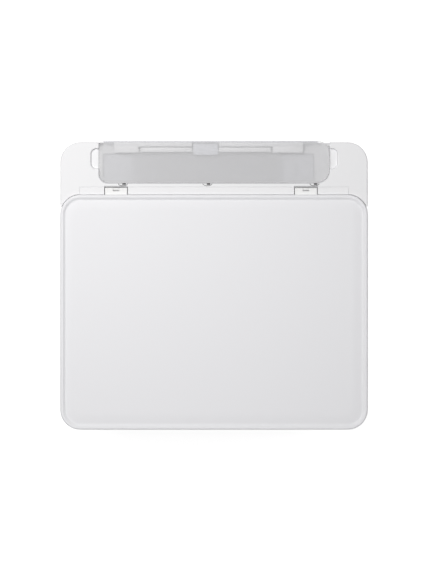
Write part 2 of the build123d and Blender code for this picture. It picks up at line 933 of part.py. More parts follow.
with BuildPart() as engine_frame:
    for side in (-1, 1):
        block(
            (side * frame_x, side * (frame_x + sheet)),
            (-40.0, back_plate_y + sheet),
            (mid_plate_top_z, frame_top_z),
        )
    block(
        (-frame_x - sheet, frame_x + sheet),
        (back_plate_y, back_plate_y + sheet),
        (mid_plate_top_z, frame_top_z),
    )
    block(
        (-127.0, 108.0),
        (back_plate_y - 1, back_plate_y + sheet + 1),
        (mid_plate_top_z + 11, 73.0),
        mode=Mode.SUBTRACT,
    )
    block((motor_pulley_x - 17, frame_x), (shelf_front_y, back_plate_y + 0.1), (shelf_z, shelf_z + sheet))
    block((-frame_x, idler_pulley_x + 10), (shelf_front_y, back_plate_y + 0.1), (shelf_z, shelf_z + sheet))
    post(motor_pulley_x, pulley_y, (shelf_z - 1, shelf_z + 2), 2.5, mode=Mode.SUBTRACT)
    post(idler_pulley_x, pulley_y, (shelf_z, belt_z + belt_width + 2), belt_post_radius)
    for y, z, radius in (
        (feed_roller_y, roller_z, feed_journal_radius + play),
        (eject_roller_y, roller_z, eject_shaft_radius + play),
        (rod_y, rod_z, rod_radius + 0.05),
    ):
        rod((-frame_x - 2, frame_x + 2), y, z, radius, mode=Mode.SUBTRACT)
    rod((-frame_x - 2, -frame_x + 1), feed_motor_y, feed_motor_z, 3.0, mode=Mode.SUBTRACT)
    rod((gear_x - gear_width - 0.8, -frame_x), idler_y, roller_z, idler_stud_radius)
    rod((frame_x, stay_x + stay_thick / 2 + 1.0), stay_pivot_y, stay_pivot_z, stay_pin_radius)
write(engine_frame.part, "engine_frame")

with BuildPart() as guide_rod:
    rod((-frame_x - 1.8, frame_x + 1.8), rod_y, rod_z, rod_radius)
write(guide_rod.part, "guide_rod")

# Paper rollers with their gears
with BuildPart() as feed_roller:
    rod((gear_x - gear_width, frame_x + 2.0), feed_roller_y, roller_z, feed_journal_radius)
    rod((feed_x - 116.5, feed_x + 117.5), feed_roller_y, roller_z, feed_roller_radius)
    gear(gear_x, feed_roller_y, roller_z, feed_teeth, 0.0, 3.0)
write(feed_roller.part, "feed_roller")


def meshing_turn(teeth, other_teeth, other_turn, direction):
    """The turn of a gear that puts a gap where the other gear has a tooth.

    The direction is the angle from the other gear to this one, both seen in the same face plane.
    """
    past_tooth = (direction - other_turn) % (360.0 / other_teeth)
    gap = direction + 180.0 + past_tooth * other_teeth / teeth
    return gap + 180.0 / teeth


pinion_turn = meshing_turn(pinion_teeth, feed_teeth, 0.0, -mesh_angle)
idler_turn = meshing_turn(idler_teeth, feed_teeth, 0.0, 180.0)
eject_turn = meshing_turn(eject_teeth, idler_teeth, idler_turn, 180.0)

with BuildPart() as idler_gear:
    gear(gear_x, idler_y, roller_z, idler_teeth, idler_turn, idler_stud_radius + play)
write(idler_gear.part, "idler_gear")

with BuildPart() as motor_pinion:
    gear(gear_x, feed_motor_y, feed_motor_z, pinion_teeth, pinion_turn, 1.0)
    rod((gear_x - gear_width, -frame_x + 6.0), feed_motor_y, feed_motor_z, motor_shaft_radius)
write(motor_pinion.part, "motor_pinion")

with BuildPart() as feed_motor:
    rod((-frame_x + 0.1, -frame_x + 24.0), feed_motor_y, feed_motor_z, feed_motor_radius)
    rod((-frame_x - 1.6, -frame_x + 1), feed_motor_y, feed_motor_z, 2.8)
    rod(
        (-frame_x - 2, -frame_x + 7.0),
        feed_motor_y,
        feed_motor_z,
        motor_shaft_radius + 0.05,
        mode=Mode.SUBTRACT,
    )
write(feed_motor.part, "feed_motor")

with BuildPart() as eject_roller:
    rod((gear_x - gear_width, frame_x + 2.0), eject_roller_y, roller_z, eject_shaft_radius)
    gear(gear_x, eject_roller_y, roller_z, eject_teeth, eject_turn, 2.0)
    for x in star_xs:
        rod((x - 4, x + 4), eject_roller_y, roller_z, eject_roller_radius)
write(eject_roller.part, "eject_roller")

pinch_z = roller_z + feed_roller_radius + nip_gap + pinch_radius
star_z = roller_z + eject_roller_radius + nip_gap + star_radius
pinch_shaft_radius = 1.2
star_shaft_radius = 1.0
star_arm_xs = (-119.0, -62.0, -4.5, 52.0, 99.0)

with BuildPart() as pinch_rollers:
    rod((pinch_xs[0] - 12, pinch_xs[-1] + 12), feed_roller_y, pinch_z, pinch_shaft_radius)
    for x in pinch_xs:
        rod((x - 8, x + 8), feed_roller_y, pinch_z, pinch_radius)
write(pinch_rollers.part, "pinch_rollers")

with BuildPart() as star_wheels:
    rod(
        (star_arm_xs[0] - 1.5, star_arm_xs[-1] + 3.5),
        eject_roller_y,
        star_z,
        star_shaft_radius,
    )
    for x in star_xs:
        place = Plane(origin=(x - 0.6, eject_roller_y, star_z), x_dir=(0, 1, 0), z_dir=(1, 0, 0))
        points = []
        for tooth in range(16):
            angle = 2 * math.pi * tooth / 16
            half = math.pi / 16
            points.append((star_radius * math.cos(angle), star_radius * math.sin(angle)))
            points.append(
                ((star_radius - 1) * math.cos(angle + half), (star_radius - 1) * math.sin(angle + half))
            )
        with BuildSketch(place):
            Polygon(*points, align=None)
        extrude(amount=1.2)
write(star_wheels.part, "star_wheels")

with BuildPart() as roller_carriers:
    block((-frame_x + 0.3, frame_x - 0.3), (feed_roller_y + 2, feed_roller_y + 11), (64.7, 70.0))
    for x in pinch_xs:
        for near in (x - 10.6, x + 8.6):
            block(
                (near, near + 2.0),
                (feed_roller_y - 2.5, feed_roller_y + 5.0),
                (roller_z + 6.4, carriage_bottom_z - 0.3),
            )
    rod(
        (pinch_xs[0] - 13, pinch_xs[-1] + 13),
        feed_roller_y,
        pinch_z,
        pinch_shaft_radius + play,
        mode=Mode.SUBTRACT,
    )
    block((-frame_x + 0.3, frame_x - 0.3), (eject_roller_y - 14, eject_roller_y - 7), (59.0, 64.5))
    for near in star_arm_xs:
        block(
            (near, near + 2.0),
            (eject_roller_y - 8, eject_roller_y + 2.2),
            (star_z - 2.2, star_z + 2.6),
        )
    rod(
        (star_arm_xs[0] - 2, star_arm_xs[-1] + 4),
        eject_roller_y,
        star_z,
        star_shaft_radius + play,
        mode=Mode.SUBTRACT,
    )
write(roller_carriers.part, "roller_carriers")

# Platen between the rollers, and the guide the sheet turns round behind the cassette
platen_left = 6.0 - frame_x
platen_right = carriage_x - 29.0
platen_top_z = 54.5
platen_legs = [(x, y) for x in (-150.0, -70.0, 10.0, 90.0) for y in (-10.0, 25.0)]

with BuildPart() as platen:
    block((platen_left, platen_right), (-16.0, 31.0), (platen_top_z - 4.5, platen_top_z - 1))
    for x in range(-118, 100, 12):
        block((x, x + 1.6), (-15.0, 30.0), (platen_top_z - 1.1, platen_top_z))
    for x, y in platen_legs:
        block((x - 3, x + 3), (y - 3, y + 3), (mid_plate_top_z, platen_top_z - 4))
write(platen.part, "platen")

drum_back_y = back_y - 10.0
drum_top_z = 60.0

with BuildPart() as turn_guide:
    with BuildSketch(Plane.YZ.offset(feed_x - 112.0)):
        with BuildLine():
            FilletPolyline(
                (drum_back_y - 28, 16.0),
                (drum_back_y, 16.0),
                (drum_back_y, drum_top_z),
                (drum_back_y - 28, drum_top_z),
                radius=13.0,
            )
            Polyline(
                (drum_back_y - 28, drum_top_z),
                (85.0, 53.6),
                (85.0, 51.6),
                (drum_back_y - 28, drum_top_z - 2),
                (drum_back_y - 28, 16.0),
            )
        make_face()
    extrude(amount=224.0)
    block(
        (feed_x - 109.0, feed_x + 109.0),
        (drum_back_y - 29, drum_back_y - 3),
        (19.0, drum_top_z - 3),
        mode=Mode.SUBTRACT,
    )
    for near in (feed_x - 112.0, feed_x + 109.0):
        block(
            (near, near + 3.0),
            (drum_back_y - 24, drum_back_y - 6),
            (floor_top_z + 0.3, drum_top_z - 20),
        )
write(turn_guide.part, "turn_guide")

# Carriage with two cartridges and their locking levers
cartridge_xs = (carriage_x - cartridge_offset, carriage_x + cartridge_offset)
cartridge_top_z = 89.0
cartridge_front_y = -19.5
cartridge_back_y = 32.5
lever_half = 11.5
lever_pin_radius = 1.2

with BuildPart() as carriage:
    block(
        (carriage_x - carriage_half, carriage_x + carriage_half),
        (carriage_front_y, carriage_back_y),
        (carriage_bottom_z, carriage_top_z),
    )
    block(
        (carriage_x - carriage_half, carriage_x + carriage_half),
        (carriage_back_y - 0.1, rod_y + 7.0),
        (rod_z - 6.0, rod_z + 7.0),
    )
    rod(
        (carriage_x - carriage_half - 1, carriage_x + carriage_half + 1),
        rod_y,
        rod_z,
        rod_radius + play,
        mode=Mode.SUBTRACT,
    )
    block(
        (carriage_x - 5, carriage_x + 5),
        (rod_y + 6.9, pulley_y - pulley_radius - belt_thick - 0.1),
        (belt_z - 1.0, belt_z + belt_width - 0.5),
    )
    for x in cartridge_xs:
        block(
            (x - cartridge_width / 2 - play, x + cartridge_width / 2 + play),
            (cartridge_front_y - play, cartridge_back_y + play),
            (carriage_bottom_z + 2.0, carriage_top_z + 1),
            mode=Mode.SUBTRACT,
        )
        block((x - 11.2, x + 11.2), (-8.3, 20.3), (carriage_bottom_z - 1, 70.0), mode=Mode.SUBTRACT)
        block(
            (x - 7.0, x + 7.0),
            (carriage_front_y - 1, cartridge_front_y),
            (82.0, carriage_top_z + 1),
            mode=Mode.SUBTRACT,
        )
        for near in (x - lever_half - 2.6, x + lever_half + 0.6):
            block((near, near + 2.0), (lever_pivot_y - 3, carriage_front_y + 0.1), (83.5, 90.0))
        rod(
            (x - lever_half - 3, x + lever_half + 3),
            lever_pivot_y,
            lever_pivot_z,
            lever_pin_radius + play,
            mode=Mode.SUBTRACT,
        )
write(carriage.part, "carriage")

with BuildPart() as ink_cartridges:
    for x in cartridge_xs:
        block(
            (x - cartridge_width / 2, x + cartridge_width / 2),
            (cartridge_front_y, cartridge_back_y),
            (carriage_bottom_z + 2.1, cartridge_top_z),
        )
        block((x - 11.0, x + 11.0), (-8.0, 20.0), (head_z, carriage_bottom_z + 2.2))
write(ink_cartridges.part, "ink_cartridges")

for x, label in zip(cartridge_xs, ("lever_left", "lever_right")):
    with BuildPart() as lever:
        rod((x - lever_half, x + lever_half), lever_pivot_y, lever_pivot_z, 2.2)
        rod(
            (x - lever_half - 2.4, x + lever_half + 2.4),
            lever_pivot_y,
            lever_pivot_z,
            lever_pin_radius,
        )
        block((x - 10.0, x + 10.0), (lever_pivot_y - 13, lever_pivot_y), (86.0, 88.2))
        block((x - 6.0, x + 6.0), (lever_pivot_y - 2, lever_pivot_y + 2), (87.0, 91.0))
        block((x - 6.0, x + 6.0), (lever_pivot_y, lever_pivot_y + 11), (89.4, 91.0))
    write(lever.part, label)

# Belt drive of the carriage
belt_span = motor_pulley_x - idler_pulley_x
belt_middle = (motor_pulley_x + idler_pulley_x) / 2

with BuildPart() as carriage_belt:
    with BuildSketch(Plane.XY.offset(belt_z)):
        with Locations((belt_middle, pulley_y)):
            SlotCenterToCenter(belt_span, 2 * (pulley_radius + belt_thick))
            SlotCenterToCenter(belt_span, 2 * pulley_radius, mode=Mode.SUBTRACT)
    extrude(amount=belt_width)
write(carriage_belt.part, "carriage_belt")

for x, label, bore in (
    (motor_pulley_x, "motor_pulley", 0.0),
    (idler_pulley_x, "idler_pulley", belt_post_radius + play),
):
    with BuildPart() as pulley:
        post(x, pulley_y, (belt_z - 0.8, belt_z + belt_width + 0.8), pulley_radius - 0.05)
        for low in (belt_z - 1.4, belt_z + belt_width + 0.3):
            post(x, pulley_y, (low, low + 1.1), pulley_radius + 1.8)
        if bore:
            post(x, pulley_y, (shelf_z, belt_z + belt_width + 3), bore, mode=Mode.SUBTRACT)
        else:
            post(x, pulley_y, (shelf_z - 8, belt_z + belt_width), motor_shaft_radius)
    write(pulley.part, label)

with BuildPart() as carriage_motor:
    post(motor_pulley_x, pulley_y, (46.0, shelf_z - 0.1), motor_radius)
    post(
        motor_pulley_x,
        pulley_y,
        (shelf_z - 9, shelf_z),
        motor_shaft_radius + 0.05,
        mode=Mode.SUBTRACT,
    )
write(carriage_motor.part, "carriage_motor")

with BuildPart() as maintenance_station:
    block((carriage_x - 25, carriage_x + 33), (-18.5, 30.0), (mid_plate_top_z, 52.0))
    for x in cartridge_xs:
        block((x - 12.5, x + 12.5), (-9.5, 21.5), (51.9, head_z - 0.6))
        block((x - 10.5, x + 10.5), (-7.5, 19.5), (53.0, head_z), mode=Mode.SUBTRACT)
write(maintenance_station.part, "maintenance_station")

# Scanner base with the tongue, the hinge pins and the pockets for the lid's legs
rail_post_x = inner_x - 6.5
leg_play = 0.1
leg_front_y = leg_y - leg_depth / 2
leg_back_y = leg_y + leg_depth / 2

# The tongue's front edge leans back above the lid hinge, along the arc the lid's back takes.
tongue_reach = lid_hinge_y - scan_back_y - 0.07
tongue_lean = [
    (lid_hinge_y - math.sqrt(tongue_reach**2 - rise**2), lid_hinge_z + rise)
    for rise in (0.0, lid_knuckle_radius / 2, lid_knuckle_radius)
]

with BuildPart() as scanner_base:
    with BuildSketch(Plane.XY.offset(scan_bottom_z)):
        scan_outline()
    extrude(amount=scan_seam_z - 0.1 - scan_bottom_z)
    with BuildSketch(Plane.XY.offset(scan_bottom_z + scan_floor)):
        scan_outline(wall)
    extrude(amount=40.0, mode=Mode.SUBTRACT)
    with BuildSketch(Plane.YZ.offset(-tongue_half)) as tongue:
        Polygon(
            (scan_back_y - wall, 103.5),
            (tongue_back_y, 103.5),
            (tongue_back_y, deck_z),
            *reversed(tongue_lean),
            (scan_back_y + 0.1, scan_top_z - 0.1),
            (scan_back_y - wall, scan_top_z - 0.1),
            align=None,
        )
        fillet(tongue.vertices().group_by(Axis.Y)[-1].sort_by(Axis.X)[-1], radius=tongue_radius)
    extrude(amount=2 * tongue_half)
    rod((-tongue_half - 5, tongue_half + 5), scan_hinge_y, scan_hinge_z, scan_pin_radius)
    for x in lid_hinge_xs:
        block(
            (x - leg_width / 2 - leg_play, x + leg_width / 2 + leg_play),
            (leg_front_y - leg_play, leg_back_y + leg_play),
            (leg_bottom_z - 0.4, deck_z + 1),
            mode=Mode.SUBTRACT,
        )
        block(
            (x - hinge_pocket_width / 2, x + hinge_pocket_width / 2),
            (scan_back_y - 0.1, lid_hinge_y + 2.6),
            (leg_top_z, deck_z + 1),
            mode=Mode.SUBTRACT,
        )
    for side in (-1, 1):
        near = side * rail_post_x
        block(
            (near, side * (inner_x + 0.1)),
            (glass_centre_y - 6, glass_centre_y + 6),
            (scan_bottom_z + 1, scan_rail_z + 5),
        )
    rod(
        (-inner_x + 1, inner_x - 1),
        glass_centre_y,
        scan_rail_z,
        scan_rail_radius + 0.05,
        mode=Mode.SUBTRACT,
    )
write(scanner_base.part, "scanner_base")

with BuildPart() as scan_rail:
    rod((-inner_x + 1.2, inner_x - 1.2), glass_centre_y, scan_rail_z, scan_rail_radius)
write(scan_rail.part, "scan_rail")

with BuildPart() as scan_bar:
    block(
        (scan_bar_x - scan_bar_width / 2, scan_bar_x + scan_bar_width / 2),
        (glass_centre_y - scan_bar_length / 2, glass_centre_y + scan_bar_length / 2),
        (110.5, glass_top_z - glass_thick - 0.8),
    )
    block(
        (scan_bar_x - scan_bar_width / 2, scan_bar_x + scan_bar_width / 2),
        (glass_centre_y - 8, glass_centre_y + 8),
        (scan_bottom_z + scan_floor + 0.6, 110.6),
    )
    rod(
        (scan_bar_x - scan_bar_width, scan_bar_x + scan_bar_width),
        glass_centre_y,
        scan_rail_z,
        scan_rail_radius + play,
        mode=Mode.SUBTRACT,
    )
write(scan_bar.part, "scan_bar")

# Scanner top with the glass set in its window
with BuildPart() as scanner_top:
    with BuildSketch(Plane.XY.offset(scan_seam_z)):
        scan_outline()
    extrude(amount=scan_top_z - scan_seam_z)
    with BuildSketch(Plane.XY.offset(scan_seam_z)):
        scan_outline(wall)
    extrude(amount=scan_top_z - 2.2 - scan_seam_z, mode=Mode.SUBTRACT)
    block(
        (-glass_window_width / 2 - 7.5, glass_window_width / 2 + 7.5),
        (
            glass_centre_y - glass_window_depth / 2 - 7.5,
            glass_centre_y + glass_window_depth / 2 + 7.5,
        ),
        (glass_top_z - glass_thick, scan_top_z - 1),
    )
    block(
        (
            -glass_window_width / 2 - glass_lip - play,
            glass_window_width / 2 + glass_lip + play,
        ),
        (
            glass_centre_y - glass_window_depth / 2 - glass_lip - play,
            glass_centre_y + glass_window_depth / 2 + glass_lip + play,
        ),
        (scan_seam_z, glass_top_z + 0.05),
        mode=Mode.SUBTRACT,
    )
    block(
        (-glass_window_width / 2, glass_window_width / 2),
        (
            glass_centre_y - glass_window_depth / 2,
            glass_centre_y + glass_window_depth / 2,
        ),
        (scan_seam_z, scan_top_z + 1),
        mode=Mode.SUBTRACT,
    )
    block(
        (-tongue_half - 0.3, tongue_half + 0.3),
        (scan_back_y - wall - 0.2, scan_back_y + 1),
        (scan_seam_z - 1, scan_top_z + 1),
        mode=Mode.SUBTRACT,
    )
write(scanner_top.part, "scanner_top")

with BuildPart() as platen_glass:
    block(
        (-glass_window_width / 2 - glass_lip, glass_window_width / 2 + glass_lip),
        (
            glass_centre_y - glass_window_depth / 2 - glass_lip,
            glass_centre_y + glass_window_depth / 2 + glass_lip,
        ),
        (glass_top_z - glass_thick, glass_top_z),
    )
write(platen_glass.part, "platen_glass")

# Stay that holds the scanner up
with BuildPart() as scanner_stay:
    with BuildSketch(Plane.YZ.offset(stay_x - stay_thick / 2)):
        with Locations((stay_pivot_y - stay_length / 2, stay_pivot_z)):
            SlotCenterToCenter(stay_length, stay_width)
        with Locations((stay_pivot_y, stay_pivot_z)):
            Circle(stay_width / 2 + 1.5)
            Circle(stay_pin_radius + play, mode=Mode.SUBTRACT)
    extrude(amount=stay_thick)
write(scanner_stay.part, "scanner_stay")

# Lid: outer cover, inner plate with the hinge arms, soft pad and hinge legs
lid_flat = 3.7
lid_slope = 3.5
lid_crown = 1.0
lid_crown_run = 10.5
arm_half_gap = 3.8

with BuildPart() as lid_cover:
    with BuildSketch(Plane.XY.offset(lid_bottom_z)):
        scan_outline()
    extrude(amount=overall_height - lid_bottom_z)
    fillet(lid_cover.edges().group_by(Axis.Z)[-1], radius=1.2)
    with BuildSketch(Plane.XY.offset(overall_height)):
        scan_outline(lid_flat)
    with BuildSketch(Plane.XY.offset(overall_height - lid_recess)):
        scan_outline(lid_flat + lid_slope)
    loft(ruled=True, mode=Mode.SUBTRACT)
    with BuildSketch(Plane.XY.offset(overall_height - lid_recess - 0.01)):
        scan_outline(lid_flat + lid_slope + 0.4)
    with BuildSketch(Plane.XY.offset(overall_height - lid_recess + lid_crown)):
        scan_outline(lid_flat + lid_slope + lid_crown_run)
    loft(ruled=True)
    with BuildSketch(Plane.XY.offset(lid_bottom_z)):
        scan_outline(lid_skin)
    extrude(amount=overall_height - lid_recess - lid_skin - lid_bottom_z, mode=Mode.SUBTRACT)
    for x in lid_hinge_xs:
        block(
            (x - hinge_arm_width / 2 - 0.3, x + hinge_arm_width / 2 + 0.3),
            (scan_back_y - 6.3, scan_back_y + 1),
            (lid_bottom_z - 1, deck_z),
            mode=Mode.SUBTRACT,
        )
write(lid_cover.part, "lid_cover")

with BuildPart() as lid_liner:
    with BuildSketch(Plane.XY.offset(liner_z)):
        scan_outline(lid_skin + 0.3)
    extrude(amount=liner_thick)
    for x in lid_hinge_xs:
        rod(
            (x - hinge_arm_width / 2, x + hinge_arm_width / 2),
            lid_hinge_y,
            lid_hinge_z,
            lid_knuckle_radius,
        )
        block(
            (x - hinge_arm_width / 2, x + hinge_arm_width / 2),
            (scan_back_y - 6.0, lid_hinge_y),
            (lid_hinge_z - lid_knuckle_radius, lid_hinge_z + lid_knuckle_radius),
        )
        block(
            (x - hinge_arm_width / 2, x + hinge_arm_width / 2),
            (scan_back_y - 6.0, scan_back_y - lid_skin - 0.3),
            (liner_z, lid_hinge_z),
        )
        block(
            (x - arm_half_gap, x + arm_half_gap),
            (lid_hinge_y - lid_knuckle_radius - 0.4, lid_hinge_y + 5),
            (lid_hinge_z - 5, lid_hinge_z + 5),
            mode=Mode.SUBTRACT,
        )
    rod(
        (lid_hinge_xs[0] - 14, lid_hinge_xs[1] + 14),
        lid_hinge_y,
        lid_hinge_z,
        lid_pin_radius + play,
        mode=Mode.SUBTRACT,
    )
write(lid_liner.part, "lid_liner")

with BuildPart() as document_pad:
    block(
        (-glass_window_width / 2 + 2, glass_window_width / 2 - 2),
        (
            glass_centre_y - glass_window_depth / 2 + 2,
            glass_centre_y + glass_window_depth / 2 - 2,
        ),
        (pad_bottom_z, liner_z),
    )
write(document_pad.part, "document_pad")

with BuildPart() as lid_hinge_legs:
    for x in lid_hinge_xs:
        block(
            (x - leg_width / 2, x + leg_width / 2),
            (leg_front_y, leg_back_y),
            (leg_bottom_z, leg_top_z),
        )
        block(
            (x - arm_half_gap + 0.3, x + arm_half_gap - 0.3),
            (lid_hinge_y - lid_tab_radius, lid_hinge_y + lid_tab_radius),
            (leg_top_z - 0.1, lid_hinge_z),
        )
        rod(
            (x - arm_half_gap + 0.3, x + arm_half_gap - 0.3),
            lid_hinge_y,
            lid_hinge_z,
            lid_tab_radius,
        )
        rod(
            (x - hinge_arm_width / 2, x + hinge_arm_width / 2),
            lid_hinge_y,
            lid_hinge_z,
            lid_pin_radius,
        )
write(lid_hinge_legs.part, "lid_hinge_legs")

# Rear tray: paper support with its extension, and the flap over the feed slot
support_left = well_left + 0.4
support_right = well_right - 0.4
support_front_y = well_front_y + support_gap
support_back_y = overall_depth / 2
support_bottom_z = support_top_z - support_thick
extension_left = -100.0
extension_right = 81.0
extension_back_y = back_y - 9.0

with BuildPart() as paper_support:
    with BuildSketch(Plane.XY.offset(support_bottom_z)) as support_plan:
        with BuildLine():
            FilletPolyline(
                (0, support_back_y),
                (support_left, support_back_y),
                (support_left, support_front_y),
                (support_right, support_front_y),
                (support_right, support_back_y),
                (1, support_back_y),
                radius=(5.5, 12.0, 16.5, 13.5),
            )
            Line((1, support_back_y), (0, support_back_y))
        make_face()
    extrude(amount=support_thick)
    fillet(paper_support.edges().group_by(Axis.Z)[-1], radius=0.8)
    rod(
        (well_left - 1.9, well_right + 1.9),
        support_hinge_y,
        support_hinge_z,
        support_pin_radius,
    )
    block(
        (extension_left - 0.3, extension_right + 0.3),
        (support_front_y - 1, extension_back_y + 0.4),
        (support_bottom_z - 1, support_top_z - 1.5),
        mode=Mode.SUBTRACT,
    )
write(paper_support.part, "paper_support")

with BuildPart() as support_extension:
    block(
        (extension_left, extension_right),
        (support_front_y + 1.0, extension_back_y),
        (support_bottom_z + 0.1, support_top_z - 1.6),
    )
write(support_extension.part, "support_extension")

with BuildPart() as feed_slot_cover:
    block(
        (hopper_left + 0.7, hopper_right - 0.7),
        (hopper_front_y + 0.6, hopper_back_y - 0.6),
        (flap_hinge_z - flap_thick / 2, flap_hinge_z + flap_thick / 2),
    )
    fillet(feed_slot_cover.edges().filter_by(Axis.Z), radius=1.8)
    rod(
        (hopper_left - 2.0, hopper_right + 2.0),
        flap_hinge_y,
        flap_hinge_z,
        flap_pin_radius,
    )
    for x in (-118.7, 99.6):
        block(
            (x - 1.0, x + 1.0),
            (hopper_front_y + 6.6, hopper_front_y + 22.6),
            (flap_hinge_z, flap_hinge_z + flap_thick / 2 + 1.2),
        )
write(feed_slot_cover.part, "feed_slot_cover")


def along(start, end, distance, rise):
    """A point at a distance along a line and a rise above it, towards the front and up."""
    length = math.hypot(end[0] - start[0], end[1] - start[1])
    step = ((end[0] - start[0]) / length, (end[1] - start[1]) / length)
    return (
        start[0] + distance * step[0] + rise * step[1],
        start[1] + distance * step[1] - rise * step[0],
    )


chute_half = 112.0
chute_side = 3.0
chute_top, chute_bend = feed_plate_line[0], feed_plate_line[1]
chute_length = math.hypot(chute_top[0] - chute_bend[0], chute_top[1] - chute_bend[1])
hopper_pivot = along(chute_top, chute_bend, 14.0, 1.8)
hopper_pin_radius = 0.8
pickup_journal = pickup_shaft_radius + play

with BuildPart() as feed_plate:
    top = [(y, z) for y, z in feed_plate_line]
    below = [along(chute_top, chute_bend, 0, -feed_plate_thick)]
    below.append(along(chute_top, chute_bend, chute_length, -feed_plate_thick - 0.3))
    below += [(y + 0.3, z - feed_plate_thick) for y, z in feed_plate_line[2:]]
    with BuildSketch(Plane.YZ.offset(feed_x - chute_half - chute_side)):
        Polygon(*top, *reversed(below), align=None)
    extrude(amount=2 * (chute_half + chute_side))
    cheek_top_z = trough_floor_z - wall - 0.3
    cheek = [(back_y - 11.5, cheek_top_z), (back_y - 28.0, cheek_top_z), (back_y - 48.0, 101.0)]
    cheek += [(back_y - 50.0, 96.5), (back_y - 91.0, 96.5), (back_y - 94.0, 90.0)]
    cheek += [(back_y - 94.0, 70.0), (66.0, 64.0), (66.0, 55.0), (back_y - 91.0, 59.0)]
    cheek += [(back_y - 62.5, 71.0), (back_y - 19.0, 121.0), (back_y - 11.5, 121.0)]
    for near in (feed_x - chute_half - chute_side, feed_x + chute_half):
        with BuildSketch(Plane.YZ.offset(near)):
            Polygon(*cheek, align=None)
        extrude(amount=chute_side)
    for (y, z), radius in (
        ((pickup_y, pickup_z), pickup_journal),
        (hopper_pivot, hopper_pin_radius + play),
    ):
        rod(
            (feed_x - chute_half - 5, feed_x + chute_half + 5),
            y,
            z,
            radius,
            mode=Mode.SUBTRACT,
        )
write(feed_plate.part, "feed_plate")

with BuildPart() as hopper_plate:
    corners = [
        along(chute_top, chute_bend, 12.5, 1.0),
        along(chute_top, chute_bend, 64.0, 1.0),
        along(chute_top, chute_bend, 64.0, 2.6),
        along(chute_top, chute_bend, 12.5, 2.6),
    ]
    with BuildSketch(Plane.YZ.offset(feed_x - chute_half + 0.6)):
        Polygon(*corners, align=None)
    extrude(amount=2 * chute_half - 1.2)
    rod(
        (feed_x - chute_half - 2.6, feed_x + chute_half + 2.6),
        *hopper_pivot,
        hopper_pin_radius,
    )
write(hopper_plate.part, "hopper_plate")

with BuildPart() as rear_roller:
    rod(
        (feed_x - chute_half - chute_side, feed_x + chute_half + chute_side),
        pickup_y,
        pickup_z,
        pickup_shaft_radius,
    )
    for x in (-42.0, 42.0):
        rod((feed_x + x - 9, feed_x + x + 9), pickup_y, pickup_z, pickup_radius)
write(rear_roller.part, "rear_roller")

# Rear cover of the paper turn
with BuildPart() as transport_cover:
    block(
        (transport_left + 0.5, transport_right - 0.5),
        (back_y - wall + 0.1, back_y),
        (transport_bottom_z + 0.5, transport_top_z - 0.5),
    )
    for x in range(-100, 101, 20):
        block(
            (feed_x + x - 1, feed_x + x + 1),
            (drum_back_y + 3.5, back_y - wall + 0.2),
            (transport_bottom_z + 3, transport_top_z - 3),
        )
    block(
        (feed_x - 20, feed_x + 20),
        (back_y - 1.2, back_y + 1),
        (transport_top_z - 12.0, transport_top_z - 6.0),
        mode=Mode.SUBTRACT,
    )
write(transport_cover.part, "transport_cover")

# Power supply with its socket, and the main board with the USB socket
with BuildPart() as power_supply:
    block(
        (inlet_x - 25, inlet_x + 15),
        (back_y - 91.0, back_y - 15.0),
        (floor_top_z + 0.3, 46.0),
    )
    block(
        (inlet_x - 12.7, inlet_x + 12.7),
        (back_y - 15.1, back_y - 0.3),
        (inlet_z - 8.7, inlet_z + 8.7),
    )
    with BuildSketch(Plane.XZ.offset(-(back_y - 0.3))):
        with Locations((inlet_x, inlet_z)):
            SlotCenterToCenter(7.6, 9.4)
    extrude(amount=13.0, mode=Mode.SUBTRACT)
    for x in (inlet_x - 3.8, inlet_x + 3.8):
        pin_y(x, (back_y - 14.0, back_y - 5.0), inlet_z, 1.2)
write(power_supply.part, "power_supply")

with BuildPart() as main_board:
    block((usb_x - 14, usb_x + 14), (back_y - 95.0, back_y - 6.0), (board_z, board_z + board_thick))
    block((usb_x - 6.2, usb_x + 6.2), (usb_face_y - 17.6, usb_face_y), (board_z + 1.5, usb_z + 5.6))
    block(
        (usb_x - 4.6, usb_x + 4.6),
        (usb_face_y - 12.6, usb_face_y + 1),
        (usb_z - 4.0, usb_z + 4.0),
        mode=Mode.SUBTRACT,
    )
    for across, behind, half, tall in ((-3.0, 70.0, 7.0, 1.6), (2.0, 40.0, 5.0, 1.4)):
        x, y = usb_x + across, back_y - behind
        block(
            (x - half, x + half),
            (y - half, y + half),
            (board_z + board_thick - 0.1, board_z + board_thick + tall),
        )
    for across, behind in ((-8.0, 87.0), (7.0, 85.0), (9.0, 55.0)):
        x, y = usb_x + across, back_y - behind
        post(x, y, (board_z + board_thick - 0.1, board_z + 12), 3.0)
write(main_board.part, "main_board")
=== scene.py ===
"""Looks of a compact home multifunction printer, seen straight from above.

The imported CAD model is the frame. The pieces that show most are modelled again with softened
edges, and every node but the platen glass gets a material named for what the real piece is made
of.
"""

import json
import logging
import math
from collections.abc import Callable
from dataclasses import dataclass, field
from enum import Enum

